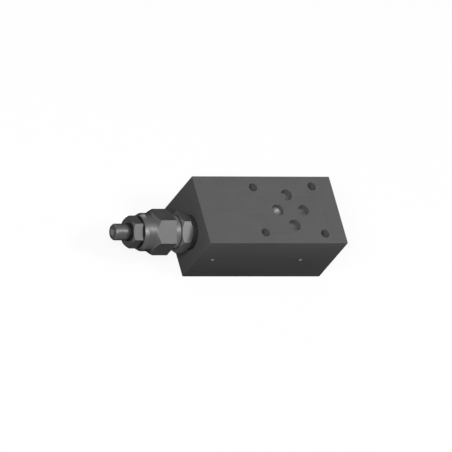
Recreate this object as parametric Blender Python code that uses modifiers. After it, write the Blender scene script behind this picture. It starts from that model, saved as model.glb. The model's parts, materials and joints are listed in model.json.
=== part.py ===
# Hydraulic sandwich valve: a drilled steel block that is clamped between a valve and its
# mounting plate, with a screw-in pressure cartridge in its left end.
#
# Metres, +Z up. The origin is the centre of the port pattern on the lower mounting face.
# +X runs along the block, away from the adjuster, and +Y runs to the back.

import math

import bpy
import bmesh
from mathutils import Matrix, Vector

# Block
BLOCK_LEFT_REACH = 0.06125
BLOCK_RIGHT_REACH = 0.03275
BLOCK_DEPTH = 0.046
BLOCK_HEIGHT = 0.040
BLOCK_EDGE_BREAK = 0.0003

# Clearances
SEAT_GAP = 0.0003
RUN_GAP = 0.0001
CUT_OVERSHOOT = 0.002

# Bolt holes: the left pair stands closer together than the right pair
BOLT_HOLE_RADIUS = 0.00275
BOLT_LEFT_X = -0.0215
BOLT_LEFT_HALF_SPACING = 0.0155
BOLT_RIGHT_X = 0.0190
BOLT_RIGHT_HALF_SPACING = 0.01625

# Ports: P at the back, T at the front, A towards the cartridge, B at the far side
PORT_P_Y = 0.0104
PORT_T_Y = -0.0104
PORT_A_X = -0.0088
PORT_B_X = 0.0087
PORT_RADIUS = 0.00375
PORT_B_RADIUS = 0.0035
PORT_MOUTH_DEPTH = 0.0045
PORT_A_MOUTH_DEPTH = 0.0036
PORT_A_LOWER_DEPTH = 0.0055
PORT_NECK_RADIUS = 0.0019
PORT_NECK_LENGTH = 0.0055
PORT_NECK_LEDGE = 0.00015
PORT_NECK_BEARING = math.radians(221.7)

# Seal rings of the lower face
SEAL_RECESS_RADIUS = 0.0062
SEAL_RECESS_DEPTH = 0.0014
SEAL_HALF_WIDTH = 0.00085
SEAL_LIFT = 0.00005

# Cartridge axis and its cavity in the block, measured inwards from the left face
AXIS_Y = -0.0045
AXIS_Z = 0.0210
CAVITY_MOUTH_FLARE = 0.0012
CAVITY_MOUTH_DEPTH = 0.0023
RETURN_GROOVE_START = 0.01525
RETURN_GROOVE_LENGTH = 0.0080
RETURN_GROOVE_RADIUS = 0.0093
NOSE_LEAD_IN = 0.0006
NOSE_CHAMBER_LENGTH = 0.0090
DRILL_POINT_ANGLE = math.radians(59.0)

# Drillings between the cavity and ports A and T
DRILLING_A_RADIUS = 0.0035
DRILLING_A_SHIFT_X = -0.00105
DRILLING_A_SHIFT_Y = 0.00036
DRILLING_A_START_DEPTH = 0.0030
DRILLING_A_SHORT_OF_AXIS = 0.0076
DRILLING_A_LOWER_RADIUS = 0.0025
DRILLING_A_LOWER_LAP = 0.0015
DRILLING_A_LOWER_AIM_BACK = 0.0020
DRILLING_A_LOWER_AIM_DROP = 0.0030
GALLERY_Y = -0.0080
GALLERY_Z = 0.0120
GALLERY_RADIUS = 0.0025
GALLERY_PLUG_RADIUS = 0.0032
GALLERY_PLUG_LENGTH = 0.0062
GALLERY_PLUG_WALL = 0.0009
GALLERY_PLUG_RECESS = 0.0004

# Label pins on the front face
PIN_LEFT_X = -0.0505
PIN_RIGHT_X = 0.00975
PIN_Z = 0.0200
PIN_HEAD_RADIUS = 0.00115
PIN_HEAD_HEIGHT = 0.0006
PIN_SHANK_RADIUS = 0.00065
PIN_SHANK_LENGTH = 0.0035
PIN_DOME_STEPS = 3

# Cartridge body outside the block
COLLAR_RADIUS = 0.0105
COLLAR_LENGTH = 0.0036
COLLAR_EDGE = 0.0003
KEY_FLATS = 0.0220
KEY_LENGTH = 0.00745
NECK_RADIUS = 0.0102
NECK_LENGTH = 0.00445
SPIGOT_RADIUS = 0.0087
SPIGOT_LENGTH = 0.0115
SPIGOT_EDGE = 0.0005

# Cartridge body inside the block
UNDERCUT_RADIUS = 0.0069
UNDERCUT_LENGTH = 0.0025
THREAD_RADIUS = 0.0080
THREAD_END = 0.0145
NOSE_RADIUS = 0.0057
NOSE_END = 0.03225
NOSE_EDGE = 0.0004
NOSE_GROOVE_RADIUS = 0.0044
NOSE_GROOVE_WIDTH = 0.0042
SPRING_BORE_RADIUS = 0.0058
SPRING_BORE_END = 0.0075
GUIDE_LENGTH = 0.0055
STEM_RADIUS = 0.0015
VENT_RADIUS = 0.0005
VENT_OFFSET = 0.0026
CHAMBER_RADIUS = 0.0034
RETURN_HOLE_RADIUS = 0.0016

# Seat and poppet
SEAT_RADIUS = 0.0040
SEAT_LENGTH = 0.0025
SEAT_HOLE_RADIUS = 0.0023
SEAT_BACK_FLARE = 0.0006
POPPET_RADIUS = 0.0029
POPPET_HEAD_LENGTH = 0.0032
POPPET_CONE_ANGLE = math.radians(40.0)
POPPET_TIP_RADIUS = 0.0009

# Spring plate, spring and plunger
PLATE_RADIUS = 0.0053
PLATE_THICKNESS = 0.0016
PLATE_BOSS_LENGTH = 0.0020
PLATE_STANDOFF = 0.0010
PLATE_POCKET_DEPTH = 0.0012
SPRING_BOSS_RADIUS = 0.0031
SPRING_MEAN_RADIUS = 0.0044
SPRING_WIRE_RADIUS = 0.0009
SPRING_LENGTH = 0.0183
SPRING_TURNS = 6.5
SPRING_CLOSED_TURNS = 2
SPRING_END_GAP = 0.0002
SPRING_POINTS_PER_TURN = 16
PLUNGER_LENGTH = 0.0085
PLUNGER_BOSS_LENGTH = 0.0025
PLUNGER_EDGE = 0.0005
PLUNGER_GROOVE_OFFSET = 0.0030
PLUNGER_GROOVE_WIDTH = 0.0023

# Seal sections on the cartridge
FACE_SEAL_SECTION = 0.00075
NOSE_SEAL_SECTION = 0.0007
BACKUP_WIDTH = 0.0010
PLUNGER_SEAL_SECTION = 0.0007
CAP_SEAL_SECTION = 0.0007
CAP_GROOVE_OFFSET = 0.0012
CAP_GROOVE_WIDTH = 0.0023
SEAL_SIDE_GAP = 0.0001

# Adjuster cap
CAP_FLATS = 0.0240
CAP_HEX_LENGTH = 0.0130
CAP_HEX_CHAMFER_SLOPE = 1.18
CAP_BARREL_RADIUS = 0.01145
CAP_BARREL_LENGTH = 0.00495
CAP_TIP_RADIUS = 0.0103
CAP_TIP_LENGTH = 0.00242
CAP_RELIEF_RADIUS = 0.0070
CAP_RELIEF_LENGTH = 0.0020

# Adjusting screw and lock nut
SCREW_RADIUS = 0.0050
SCREW_PROUD = 0.0098
SCREW_END_CHAMFER = 0.0011
SCREW_END_RADIUS = 0.0042
SCREW_POINT_RADIUS = 0.0032
SCREW_POINT_LENGTH = 0.0022
SOCKET_FLATS = 0.0050
SOCKET_DEPTH = 0.0055
NUT_FLATS = 0.0170
NUT_LENGTH = 0.00683
NUT_MOUTH_CHAMFER = 0.0005
NUT_SEAL_WIDTH = 0.0008
NUT_SEAL_THICKNESS = 0.0011

# Facets round a full turn
FACETS_LARGE = 40
FACETS_MEDIUM = 28
FACETS_SMALL = 16
FACETS_SEAL = 24
FACETS_SECTION = 6
HEX_SIDES = 6

SHARP_ANGLE = math.radians(25.0)
MERGE_DISTANCE = 0.00001
HOLDER_SIZE = 0.01

PARTS_NAME = "hydraulic_sandwich_valve"

# Places that follow from the sizes
FACE_X = -BLOCK_LEFT_REACH
FRONT_Y = -BLOCK_DEPTH / 2
KEY_END = COLLAR_LENGTH + KEY_LENGTH
NECK_END = KEY_END + NECK_LENGTH
SPIGOT_END = NECK_END + SPIGOT_LENGTH
CAP_HEX_END = NECK_END + CAP_HEX_LENGTH
CAP_BARREL_END = CAP_HEX_END + CAP_BARREL_LENGTH
CAP_END = CAP_BARREL_END + CAP_TIP_LENGTH
NUT_END = CAP_END + NUT_LENGTH
SCREW_END = NUT_END + SCREW_PROUD
CHAMBER_START = SPRING_BORE_END + GUIDE_LENGTH
SEAT_FACE = NOSE_END - SEAT_GAP / 2 - SEAT_LENGTH
NOSE_BORE_START = RETURN_GROOVE_START + RETURN_GROOVE_LENGTH
NOSE_BORE_RADIUS = NOSE_RADIUS + SEAT_GAP
NOSE_BORE_END = NOSE_END + NOSE_CHAMBER_LENGTH
NOSE_CHAMBER_MIDDLE = NOSE_BORE_END - NOSE_BORE_RADIUS
NOSE_GROOVE_END = SEAT_FACE - SEAT_GAP * 2
NOSE_GROOVE_START = NOSE_GROOVE_END - NOSE_GROOVE_WIDTH
PLATE_FACE = SPRING_BORE_END - PLATE_STANDOFF
PLATE_SHOULDER = PLATE_FACE - PLATE_THICKNESS
PLUNGER_SHOULDER = SPRING_LENGTH + 2 * SEAT_GAP - PLATE_SHOULDER
PLUNGER_END = PLUNGER_SHOULDER + PLUNGER_LENGTH
PLUNGER_RADIUS = SPRING_BORE_RADIUS - RUN_GAP
SCREW_START = PLUNGER_END + SEAT_GAP


def clear_scene():
    for old in list(bpy.data.objects):
        bpy.data.objects.remove(old, do_unlink=True)


def new_collection(name):
    group = bpy.data.collections.new(name)
    bpy.context.scene.collection.children.link(group)
    return group


def make_material(name, colour, roughness, metallic):
    material = bpy.data.materials.new(name)
    material.use_nodes = True
    shader = material.node_tree.nodes["Principled BSDF"]
    shader.inputs["Base Color"].default_value = (*colour, 1.0)
    shader.inputs["Roughness"].default_value = roughness
    shader.inputs["Metallic"].default_value = metallic
    return material


clear_scene()
PARTS = new_collection(PARTS_NAME)
CUTTERS = new_collection("cutters")

BLACKENED_STEEL = make_material("blackened_steel", (0.115, 0.115, 0.115), 0.45, 0.85)
CARTRIDGE_STEEL = make_material("cartridge_steel", (0.130, 0.130, 0.130), 0.42, 0.85)
HARDENED_STEEL = make_material("hardened_steel", (0.30, 0.30, 0.31), 0.25, 1.0)
SPRING_STEEL = make_material("spring_steel", (0.20, 0.20, 0.21), 0.35, 1.0)
SEAL_RUBBER = make_material("seal_rubber", (0.015, 0.015, 0.015), 0.60, 0.0)
BACKUP_PLASTIC = make_material("backup_plastic", (0.62, 0.60, 0.54), 0.45, 0.0)


def place(obj, material=None):
    """Puts an object in the parts if it has a material, and in the cutters if it has none."""
    if material is None:
        CUTTERS.objects.link(obj)
        obj.hide_render = True
        obj.display_type = "WIRE"
        return obj
    PARTS.objects.link(obj)
    obj.data.materials.append(material)
    return obj


def on_axis(obj, parent=None):
    """Lays a turned shape on the cartridge's axis: its height runs into the block."""
    obj.rotation_euler = (0.0, math.pi / 2, 0.0)
    if parent is None:
        obj.location = (FACE_X, AXIS_Y, AXIS_Z)
    else:
        obj.parent = parent
        obj.location = (FACE_X - parent.location.x, 0.0, 0.0)
    return obj


def turned(name, outline, material=None, facets=FACETS_LARGE, ring=False):
    """Turns an outline of (radius, height) points, listed from the top down the outer side."""
    mesh = bpy.data.meshes.new(name)
    points = [(radius, 0.0, height) for radius, height in outline]
    edges = [(i, i + 1) for i in range(len(points) - 1)]
    if ring:
        edges.append((len(points) - 1, 0))
    mesh.from_pydata(points, edges, [])
    obj = bpy.data.objects.new(name, mesh)
    screw = obj.modifiers.new("turn", "SCREW")
    screw.axis = "Z"
    screw.steps = facets
    screw.render_steps = facets
    screw.use_merge_vertices = True
    screw.merge_threshold = MERGE_DISTANCE
    return place(obj, material)


def cylinder(name, radius, start, end, facets=FACETS_MEDIUM):
    """A round cutter that runs from one point to another."""
    start = Vector(start)
    run = Vector(end) - start
    mesh = bpy.data.meshes.new(name)
    shape = bmesh.new()
    bmesh.ops.create_cone(shape, cap_ends=True, segments=facets, radius1=radius, radius2=radius,
                          depth=run.length)
    turn = run.to_track_quat("Z", "Y").to_matrix().to_4x4()
    bmesh.ops.transform(shape, matrix=Matrix.Translation(start + run / 2) @ turn, verts=shape.verts)
    shape.to_mesh(mesh)
    shape.free()
    return place(bpy.data.objects.new(name, mesh))


def cut(target, cutter):
    boolean = target.modifiers.new(cutter.name, "BOOLEAN")
    boolean.operation = "DIFFERENCE"
    boolean.solver = "EXACT"
    boolean.object = cutter


def cut_flats(target, across_flats, start, end):
    """Mills six flats on a turned piece: corners point up and down, flats to front and back."""
    corner = across_flats / math.sqrt(3)
    outer = (corner + COLLAR_EDGE + CUT_OVERSHOOT) / math.cos(math.pi / HEX_SIDES)
    outline = [(outer, end), (outer, start), (corner, start), (corner, end)]
    mill = turned(target.name + "_flats", outline, facets=HEX_SIDES, ring=True)
    on_axis(mill)
    cut(target, mill)


def empty_at(name, location):
    holder = bpy.data.objects.new(name, None)
    holder.empty_display_size = HOLDER_SIZE
    holder.location = location
    PARTS.objects.link(holder)
    return holder


def seal_ring(name, radius, section, centre, axis="X", height=None, parent=None):
    """A rubber ring, round in section, or pressed flat to a half height along its axis."""
    turn = (0.0, math.pi / 2, 0.0) if axis == "X" else (0.0, 0.0, 0.0)
    bpy.ops.mesh.primitive_torus_add(major_segments=FACETS_SEAL, minor_segments=FACETS_SECTION,
                                     major_radius=radius, minor_radius=section)
    ring = bpy.context.object
    ring.name = name
    if height is not None:
        ring.data.transform(Matrix.Diagonal((1.0, 1.0, height / section, 1.0)))
    for group in list(ring.users_collection):
        group.objects.unlink(ring)
    ring.rotation_euler = turn
    ring.location = centre
    place(ring, SEAL_RUBBER)
    if parent is not None:
        ring.parent = parent
        ring.location = Vector(centre) - parent.location
    return ring


def axis_point(station):
    """A point on the cartridge's axis, measured into the block from its left face."""
    return Vector((FACE_X + station, AXIS_Y, AXIS_Z))


def make_block():
    """The block, with its edges broken."""
    mesh = bpy.data.meshes.new("valve_body")
    shape = bmesh.new()
    bmesh.ops.create_cube(shape, size=1.0)
    length = BLOCK_LEFT_REACH + BLOCK_RIGHT_REACH
    middle_x = (BLOCK_RIGHT_REACH - BLOCK_LEFT_REACH) / 2
    bmesh.ops.scale(shape, vec=(length, BLOCK_DEPTH, BLOCK_HEIGHT), verts=shape.verts)
    bmesh.ops.translate(shape, vec=(middle_x, 0.0, BLOCK_HEIGHT / 2), verts=shape.verts)
    shape.to_mesh(mesh)
    shape.free()
    block = place(bpy.data.objects.new("valve_body", mesh), BLACKENED_STEEL)
    edge = block.modifiers.new("broken edges", "BEVEL")
    edge.width = BLOCK_EDGE_BREAK
    edge.segments = 1
    return block


def cut_bolt_holes(block):
    corners = [(BOLT_LEFT_X, -BOLT_LEFT_HALF_SPACING), (BOLT_RIGHT_X, -BOLT_RIGHT_HALF_SPACING),
               (BOLT_RIGHT_X, BOLT_RIGHT_HALF_SPACING), (BOLT_LEFT_X, BOLT_LEFT_HALF_SPACING)]
    for number, (x, y) in enumerate(corners, start=1):
        hole = cylinder(f"bolt_hole_{number}", BOLT_HOLE_RADIUS, (x, y, -CUT_OVERSHOOT),
                        (x, y, BLOCK_HEIGHT + CUT_OVERSHOOT), FACETS_MEDIUM)
        cut(block, hole)


def cut_through_port(block, name, x, y, radius):
    """A line that passes straight through: a mouth above, a neck, and a long bore below."""
    mouth_floor = BLOCK_HEIGHT - PORT_MOUTH_DEPTH
    bore_top = mouth_floor - PORT_NECK_LENGTH
    offset = radius - PORT_NECK_RADIUS - PORT_NECK_LEDGE
    neck_x = x + offset * math.cos(PORT_NECK_BEARING)
    neck_y = y + offset * math.sin(PORT_NECK_BEARING)
    cut(block, cylinder(f"port_{name}_mouth", radius, (x, y, mouth_floor),
                        (x, y, BLOCK_HEIGHT + CUT_OVERSHOOT)))
    cut(block, cylinder(f"port_{name}_bore", radius, (x, y, -CUT_OVERSHOOT), (x, y, bore_top)))
    cut(block, cylinder(f"port_{name}_neck", PORT_NECK_RADIUS,
                        (neck_x, neck_y, bore_top - CUT_OVERSHOOT),
                        (neck_x, neck_y, mouth_floor + CUT_OVERSHOOT), FACETS_SMALL))


def cut_port_a(block):
    """Port A opens above and below, and a slanted drilling leads from each to the nose chamber."""
    x, y = PORT_A_X, 0.0
    cut(block, cylinder("port_a_mouth", PORT_RADIUS, (x, y, BLOCK_HEIGHT - PORT_A_MOUTH_DEPTH),
                        (x, y, BLOCK_HEIGHT + CUT_OVERSHOOT)))
    cut(block, cylinder("port_a_bore", PORT_RADIUS, (x, y, -CUT_OVERSHOOT),
                        (x, y, PORT_A_LOWER_DEPTH)))
    chamber = axis_point(NOSE_CHAMBER_MIDDLE)
    upper = Vector((x + DRILLING_A_SHIFT_X, y + DRILLING_A_SHIFT_Y,
                    BLOCK_HEIGHT - DRILLING_A_START_DEPTH))
    fall = (chamber - upper).normalized()
    cut(block, cylinder("drilling_a_upper", DRILLING_A_RADIUS, upper,
                        chamber - fall * DRILLING_A_SHORT_OF_AXIS))
    lower = Vector((x, y, PORT_A_LOWER_DEPTH - DRILLING_A_LOWER_LAP))
    aim = chamber + Vector((0.0, DRILLING_A_LOWER_AIM_BACK, -DRILLING_A_LOWER_AIM_DROP))
    cut(block, cylinder("drilling_a_lower", DRILLING_A_LOWER_RADIUS, lower, aim))


def cut_seal_recesses(block):
    for name, x, y in port_places():
        cut(block, cylinder(f"seal_recess_{name}", SEAL_RECESS_RADIUS, (x, y, -CUT_OVERSHOOT),
                            (x, y, SEAL_RECESS_DEPTH)))


def port_places():
    return [("p", 0.0, PORT_P_Y), ("t", 0.0, PORT_T_Y), ("a", PORT_A_X, 0.0), ("b", PORT_B_X, 0.0)]


def cut_cavity(block):
    """The stepped bore for the cartridge: mouth, thread, return groove, nose bore, chamber."""
    thread = THREAD_RADIUS + SEAT_GAP
    flare_rise = CAVITY_MOUTH_FLARE * CUT_OVERSHOOT / CAVITY_MOUTH_DEPTH
    point = NOSE_BORE_RADIUS / math.tan(DRILL_POINT_ANGLE)
    outline = [
        (0.0, NOSE_BORE_END + point),
        (NOSE_BORE_RADIUS, NOSE_BORE_END),
        (NOSE_BORE_RADIUS, NOSE_BORE_START + NOSE_LEAD_IN),
        (NOSE_BORE_RADIUS + NOSE_LEAD_IN, NOSE_BORE_START),
        (RETURN_GROOVE_RADIUS, NOSE_BORE_START),
        (RETURN_GROOVE_RADIUS, RETURN_GROOVE_START),
        (thread, RETURN_GROOVE_START),
        (thread, CAVITY_MOUTH_DEPTH),
        (thread + CAVITY_MOUTH_FLARE + flare_rise, -CUT_OVERSHOOT),
        (0.0, -CUT_OVERSHOOT),
    ]
    cut(block, on_axis(turned("cavity", outline)))


def cut_gallery(block):
    """The cross drilling from the right end that joins the return groove to port T."""
    mouth = BLOCK_RIGHT_REACH + CUT_OVERSHOOT
    groove_middle = FACE_X + RETURN_GROOVE_START + RETURN_GROOVE_LENGTH / 2
    seat = BLOCK_RIGHT_REACH - GALLERY_PLUG_RECESS - GALLERY_PLUG_LENGTH - SEAT_GAP
    cut(block, cylinder("gallery", GALLERY_RADIUS, (mouth, GALLERY_Y, GALLERY_Z),
                        (groove_middle, GALLERY_Y, GALLERY_Z), FACETS_SMALL))
    cut(block, cylinder("gallery_plug_seat", GALLERY_PLUG_RADIUS + SEAT_GAP,
                        (mouth, GALLERY_Y, GALLERY_Z), (seat, GALLERY_Y, GALLERY_Z)))


def make_gallery_plug():
    """A cup-shaped sleeve, spread by a ball that is pressed into it."""
    inner = GALLERY_PLUG_RADIUS - GALLERY_PLUG_WALL
    outline = [
        (GALLERY_PLUG_RADIUS, GALLERY_PLUG_LENGTH),
        (GALLERY_PLUG_RADIUS, 0.0),
        (0.0, 0.0),
        (0.0, GALLERY_PLUG_WALL),
        (inner, GALLERY_PLUG_WALL),
        (inner, GALLERY_PLUG_LENGTH),
    ]
    floor_x = BLOCK_RIGHT_REACH - GALLERY_PLUG_RECESS - GALLERY_PLUG_LENGTH
    sleeve = turned("gallery_plug_sleeve", outline, HARDENED_STEEL, FACETS_MEDIUM, ring=True)
    sleeve.rotation_euler = (0.0, math.pi / 2, 0.0)
    sleeve.location = (floor_x, GALLERY_Y, GALLERY_Z)
    ball_radius = inner - RUN_GAP
    ball_x = floor_x + GALLERY_PLUG_LENGTH - ball_radius - GALLERY_PLUG_RECESS
    bpy.ops.mesh.primitive_uv_sphere_add(segments=FACETS_SMALL, ring_count=FACETS_SMALL // 2,
                                         radius=ball_radius, location=(ball_x, GALLERY_Y, GALLERY_Z))
    ball = bpy.context.object
    ball.name = "gallery_plug_ball"
    for group in list(ball.users_collection):
        group.objects.unlink(ball)
    place(ball, HARDENED_STEEL)


def make_port_seals():
    radius = SEAL_RECESS_RADIUS - SEAT_GAP - SEAL_HALF_WIDTH
    half_height = (SEAL_RECESS_DEPTH - SEAT_GAP - SEAL_LIFT) / 2
    for name, x, y in port_places():
        seal_ring(f"port_seal_{name}", radius, SEAL_HALF_WIDTH, (x, y, SEAL_LIFT + half_height),
                  axis="Z", height=half_height)


def make_label_pins(block):
    """Domed drive pins, each in its own blind hole in the front face."""
    dome = []
    for step in range(PIN_DOME_STEPS + 1):
        angle = math.pi / 2 * (1 - step / PIN_DOME_STEPS)
        dome.append((PIN_HEAD_RADIUS * math.cos(angle), SEAT_GAP + PIN_HEAD_HEIGHT * math.sin(angle)))
    dome[0] = (0.0, SEAT_GAP + PIN_HEAD_HEIGHT)
    outline = dome + [(PIN_SHANK_RADIUS, SEAT_GAP), (PIN_SHANK_RADIUS, -PIN_SHANK_LENGTH),
                      (0.0, -PIN_SHANK_LENGTH)]
    for side, x in (("left", PIN_LEFT_X), ("right", PIN_RIGHT_X)):
        pin = turned(f"label_pin_{side}", outline, HARDENED_STEEL, FACETS_SMALL)
        pin.rotation_euler = (math.pi / 2, 0.0, 0.0)
        pin.location = (x, FRONT_Y, PIN_Z)
        hole_end = FRONT_Y + PIN_SHANK_LENGTH + SEAT_GAP
        cut(block, cylinder(f"pin_hole_{side}", PIN_SHANK_RADIUS + SEAT_GAP,
                            (x, FRONT_Y - CUT_OVERSHOOT, PIN_Z), (x, hole_end, PIN_Z), FACETS_SMALL))


def make_cartridge_body():
    """One turned piece: nose, thread, collar, spanner hex, neck and the spigot for the cap."""
    key_corner = KEY_FLATS / math.sqrt(3)
    key_edge = key_corner - KEY_FLATS / 2 + COLLAR_EDGE
    waist_start = THREAD_END + THREAD_RADIUS - NOSE_RADIUS
    cap_groove_start = SPIGOT_END - CAP_GROOVE_OFFSET
    cap_groove_end = cap_groove_start - CAP_GROOVE_WIDTH
    cap_groove_radius = cap_seal_radius() - CAP_SEAL_SECTION - SEAL_SIDE_GAP
    outline = [
        (0.0, NOSE_END),
        (NOSE_RADIUS - NOSE_EDGE, NOSE_END),
        (NOSE_RADIUS, NOSE_END - NOSE_EDGE),
        (NOSE_RADIUS, NOSE_GROOVE_END),
        (NOSE_GROOVE_RADIUS, NOSE_GROOVE_END),
        (NOSE_GROOVE_RADIUS, NOSE_GROOVE_START),
        (NOSE_RADIUS, NOSE_GROOVE_START),
        (NOSE_RADIUS, waist_start),
        (THREAD_RADIUS, THREAD_END),
        (THREAD_RADIUS, UNDERCUT_LENGTH + THREAD_RADIUS - UNDERCUT_RADIUS),
        (UNDERCUT_RADIUS, UNDERCUT_LENGTH),
        (UNDERCUT_RADIUS, -SEAT_GAP),
        (COLLAR_RADIUS - COLLAR_EDGE, -SEAT_GAP),
        (COLLAR_RADIUS, -SEAT_GAP - COLLAR_EDGE),
        (COLLAR_RADIUS, -COLLAR_LENGTH),
        (KEY_FLATS / 2, -COLLAR_LENGTH),
        (KEY_FLATS / 2 + key_edge, -COLLAR_LENGTH - key_edge),
        (KEY_FLATS / 2 + key_edge, -KEY_END + key_edge),
        (KEY_FLATS / 2, -KEY_END),
        (NECK_RADIUS, -KEY_END),
        (NECK_RADIUS, -NECK_END + SEAT_GAP),
        (SPIGOT_RADIUS, -NECK_END + SEAT_GAP),
        (SPIGOT_RADIUS, -cap_groove_end),
        (cap_groove_radius, -cap_groove_end),
        (cap_groove_radius, -cap_groove_start),
        (SPIGOT_RADIUS, -cap_groove_start),
        (SPIGOT_RADIUS, -SPIGOT_END + SPIGOT_EDGE),
        (SPIGOT_RADIUS - SPIGOT_EDGE, -SPIGOT_END),
        (0.0, -SPIGOT_END),
    ]
    cartridge = on_axis(turned("cartridge_body", outline, CARTRIDGE_STEEL))
    cut_flats(cartridge, KEY_FLATS, -KEY_END - COLLAR_EDGE, -COLLAR_LENGTH + COLLAR_EDGE)
    bore = [
        (0.0, NOSE_END + CUT_OVERSHOOT),
        (SEAT_RADIUS + RUN_GAP, NOSE_END + CUT_OVERSHOOT),
        (SEAT_RADIUS + RUN_GAP, SEAT_FACE - SEAT_GAP),
        (CHAMBER_RADIUS, SEAT_FACE - SEAT_GAP),
        (CHAMBER_RADIUS, CHAMBER_START),
        (STEM_RADIUS + RUN_GAP, CHAMBER_START),
        (STEM_RADIUS + RUN_GAP, SPRING_BORE_END),
        (SPRING_BORE_RADIUS, SPRING_BORE_END),
        (SPRING_BORE_RADIUS, -SPIGOT_END - CUT_OVERSHOOT),
        (0.0, -SPIGOT_END - CUT_OVERSHOOT),
    ]
    cut(cartridge, on_axis(turned("cartridge_bore", bore, facets=FACETS_MEDIUM)))
    station = FACE_X + (waist_start + NOSE_GROOVE_START) / 2
    reach = NOSE_RADIUS + CUT_OVERSHOOT
    cut(cartridge, cylinder("return_hole_level", RETURN_HOLE_RADIUS,
                            (station, AXIS_Y - reach, AXIS_Z), (station, AXIS_Y + reach, AXIS_Z),
                            FACETS_SMALL))
    cut(cartridge, cylinder("return_hole_upright", RETURN_HOLE_RADIUS,
                            (station, AXIS_Y, AXIS_Z - reach), (station, AXIS_Y, AXIS_Z + reach),
                            FACETS_SMALL))
    for side, way in (("front", -1), ("back", 1)):
        vent = Vector((0.0, way * VENT_OFFSET, 0.0))
        cut(cartridge, cylinder(f"vent_{side}", VENT_RADIUS,
                                axis_point(SPRING_BORE_END - CUT_OVERSHOOT) + vent,
                                axis_point(CHAMBER_START + CUT_OVERSHOOT) + vent, FACETS_SECTION))
    return cartridge


def cap_seal_radius():
    return SPIGOT_RADIUS + SEAT_GAP - SEAL_SIDE_GAP - CAP_SEAL_SECTION


def make_cartridge_seals():
    """Rubber rings under the collar, on the nose, in the cap and on the plunger."""
    face_radius = UNDERCUT_RADIUS + SEAT_GAP + FACE_SEAL_SECTION
    under_collar = SEAL_SIDE_GAP + FACE_SEAL_SECTION - SEAT_GAP
    seal_ring("cartridge_seal", face_radius, FACE_SEAL_SECTION, axis_point(under_collar))
    nose_radius = NOSE_BORE_RADIUS - SEAL_SIDE_GAP - NOSE_SEAL_SECTION
    groove_middle = (NOSE_GROOVE_START + NOSE_GROOVE_END) / 2
    seal_ring("nose_seal", nose_radius, NOSE_SEAL_SECTION, axis_point(groove_middle))
    backup_inner = NOSE_GROOVE_RADIUS + SEAL_SIDE_GAP
    backup_outer = NOSE_BORE_RADIUS - SEAL_SIDE_GAP
    edges = (("outer", NOSE_GROOVE_START + SEAL_SIDE_GAP),
             ("inner", NOSE_GROOVE_END - SEAL_SIDE_GAP - BACKUP_WIDTH))
    for side, start in edges:
        outline = [(backup_outer, start + BACKUP_WIDTH), (backup_outer, start),
                   (backup_inner, start), (backup_inner, start + BACKUP_WIDTH)]
        on_axis(turned(f"nose_backup_{side}", outline, BACKUP_PLASTIC, FACETS_MEDIUM, ring=True))
    cap_station = SPIGOT_END - CAP_GROOVE_OFFSET - CAP_GROOVE_WIDTH / 2
    seal_ring("cap_seal", cap_seal_radius(), CAP_SEAL_SECTION, axis_point(-cap_station))


def make_valve_seat():
    outline = [
        (SEAT_RADIUS, SEAT_FACE + SEAT_LENGTH),
        (SEAT_RADIUS, SEAT_FACE),
        (SEAT_HOLE_RADIUS, SEAT_FACE),
        (SEAT_HOLE_RADIUS, SEAT_FACE + SEAT_LENGTH - SEAT_BACK_FLARE),
        (SEAT_HOLE_RADIUS + SEAT_BACK_FLARE, SEAT_FACE + SEAT_LENGTH),
    ]
    on_axis(turned("valve_seat", outline, HARDENED_STEEL, FACETS_MEDIUM, ring=True))


def make_poppet(carrier):
    """A cone that closes the seat's edge, with a stem through the guide to the spring plate."""
    slope = math.tan(POPPET_CONE_ANGLE)
    cone_at_seat = SEAT_HOLE_RADIUS - RUN_GAP / math.cos(POPPET_CONE_ANGLE)
    cone_start = SEAT_FACE - (POPPET_RADIUS - cone_at_seat) / slope
    tip = SEAT_FACE + (cone_at_seat - POPPET_TIP_RADIUS) / slope
    head_start = cone_start - POPPET_HEAD_LENGTH
    stem_end = PLATE_FACE - PLATE_POCKET_DEPTH + SEAT_GAP
    outline = [
        (0.0, tip),
        (POPPET_TIP_RADIUS, tip),
        (POPPET_RADIUS, cone_start),
        (POPPET_RADIUS, head_start),
        (STEM_RADIUS, head_start),
        (STEM_RADIUS, stem_end + COLLAR_EDGE),
        (STEM_RADIUS - COLLAR_EDGE, stem_end),
        (0.0, stem_end),
    ]
    on_axis(turned("poppet", outline, HARDENED_STEEL, FACETS_MEDIUM), carrier)


def make_spring_plate(carrier):
    pocket = STEM_RADIUS + SEAT_GAP
    outline = [
        (PLATE_RADIUS, PLATE_FACE),
        (PLATE_RADIUS, PLATE_SHOULDER),
        (SPRING_BOSS_RADIUS, PLATE_SHOULDER),
        (SPRING_BOSS_RADIUS, PLATE_SHOULDER - PLATE_BOSS_LENGTH),
        (0.0, PLATE_SHOULDER - PLATE_BOSS_LENGTH),
        (0.0, PLATE_FACE - PLATE_POCKET_DEPTH),
        (pocket, PLATE_FACE - PLATE_POCKET_DEPTH),
        (pocket, PLATE_FACE),
    ]
    on_axis(turned("spring_plate", outline, HARDENED_STEEL, FACETS_MEDIUM, ring=True), carrier)


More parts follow.
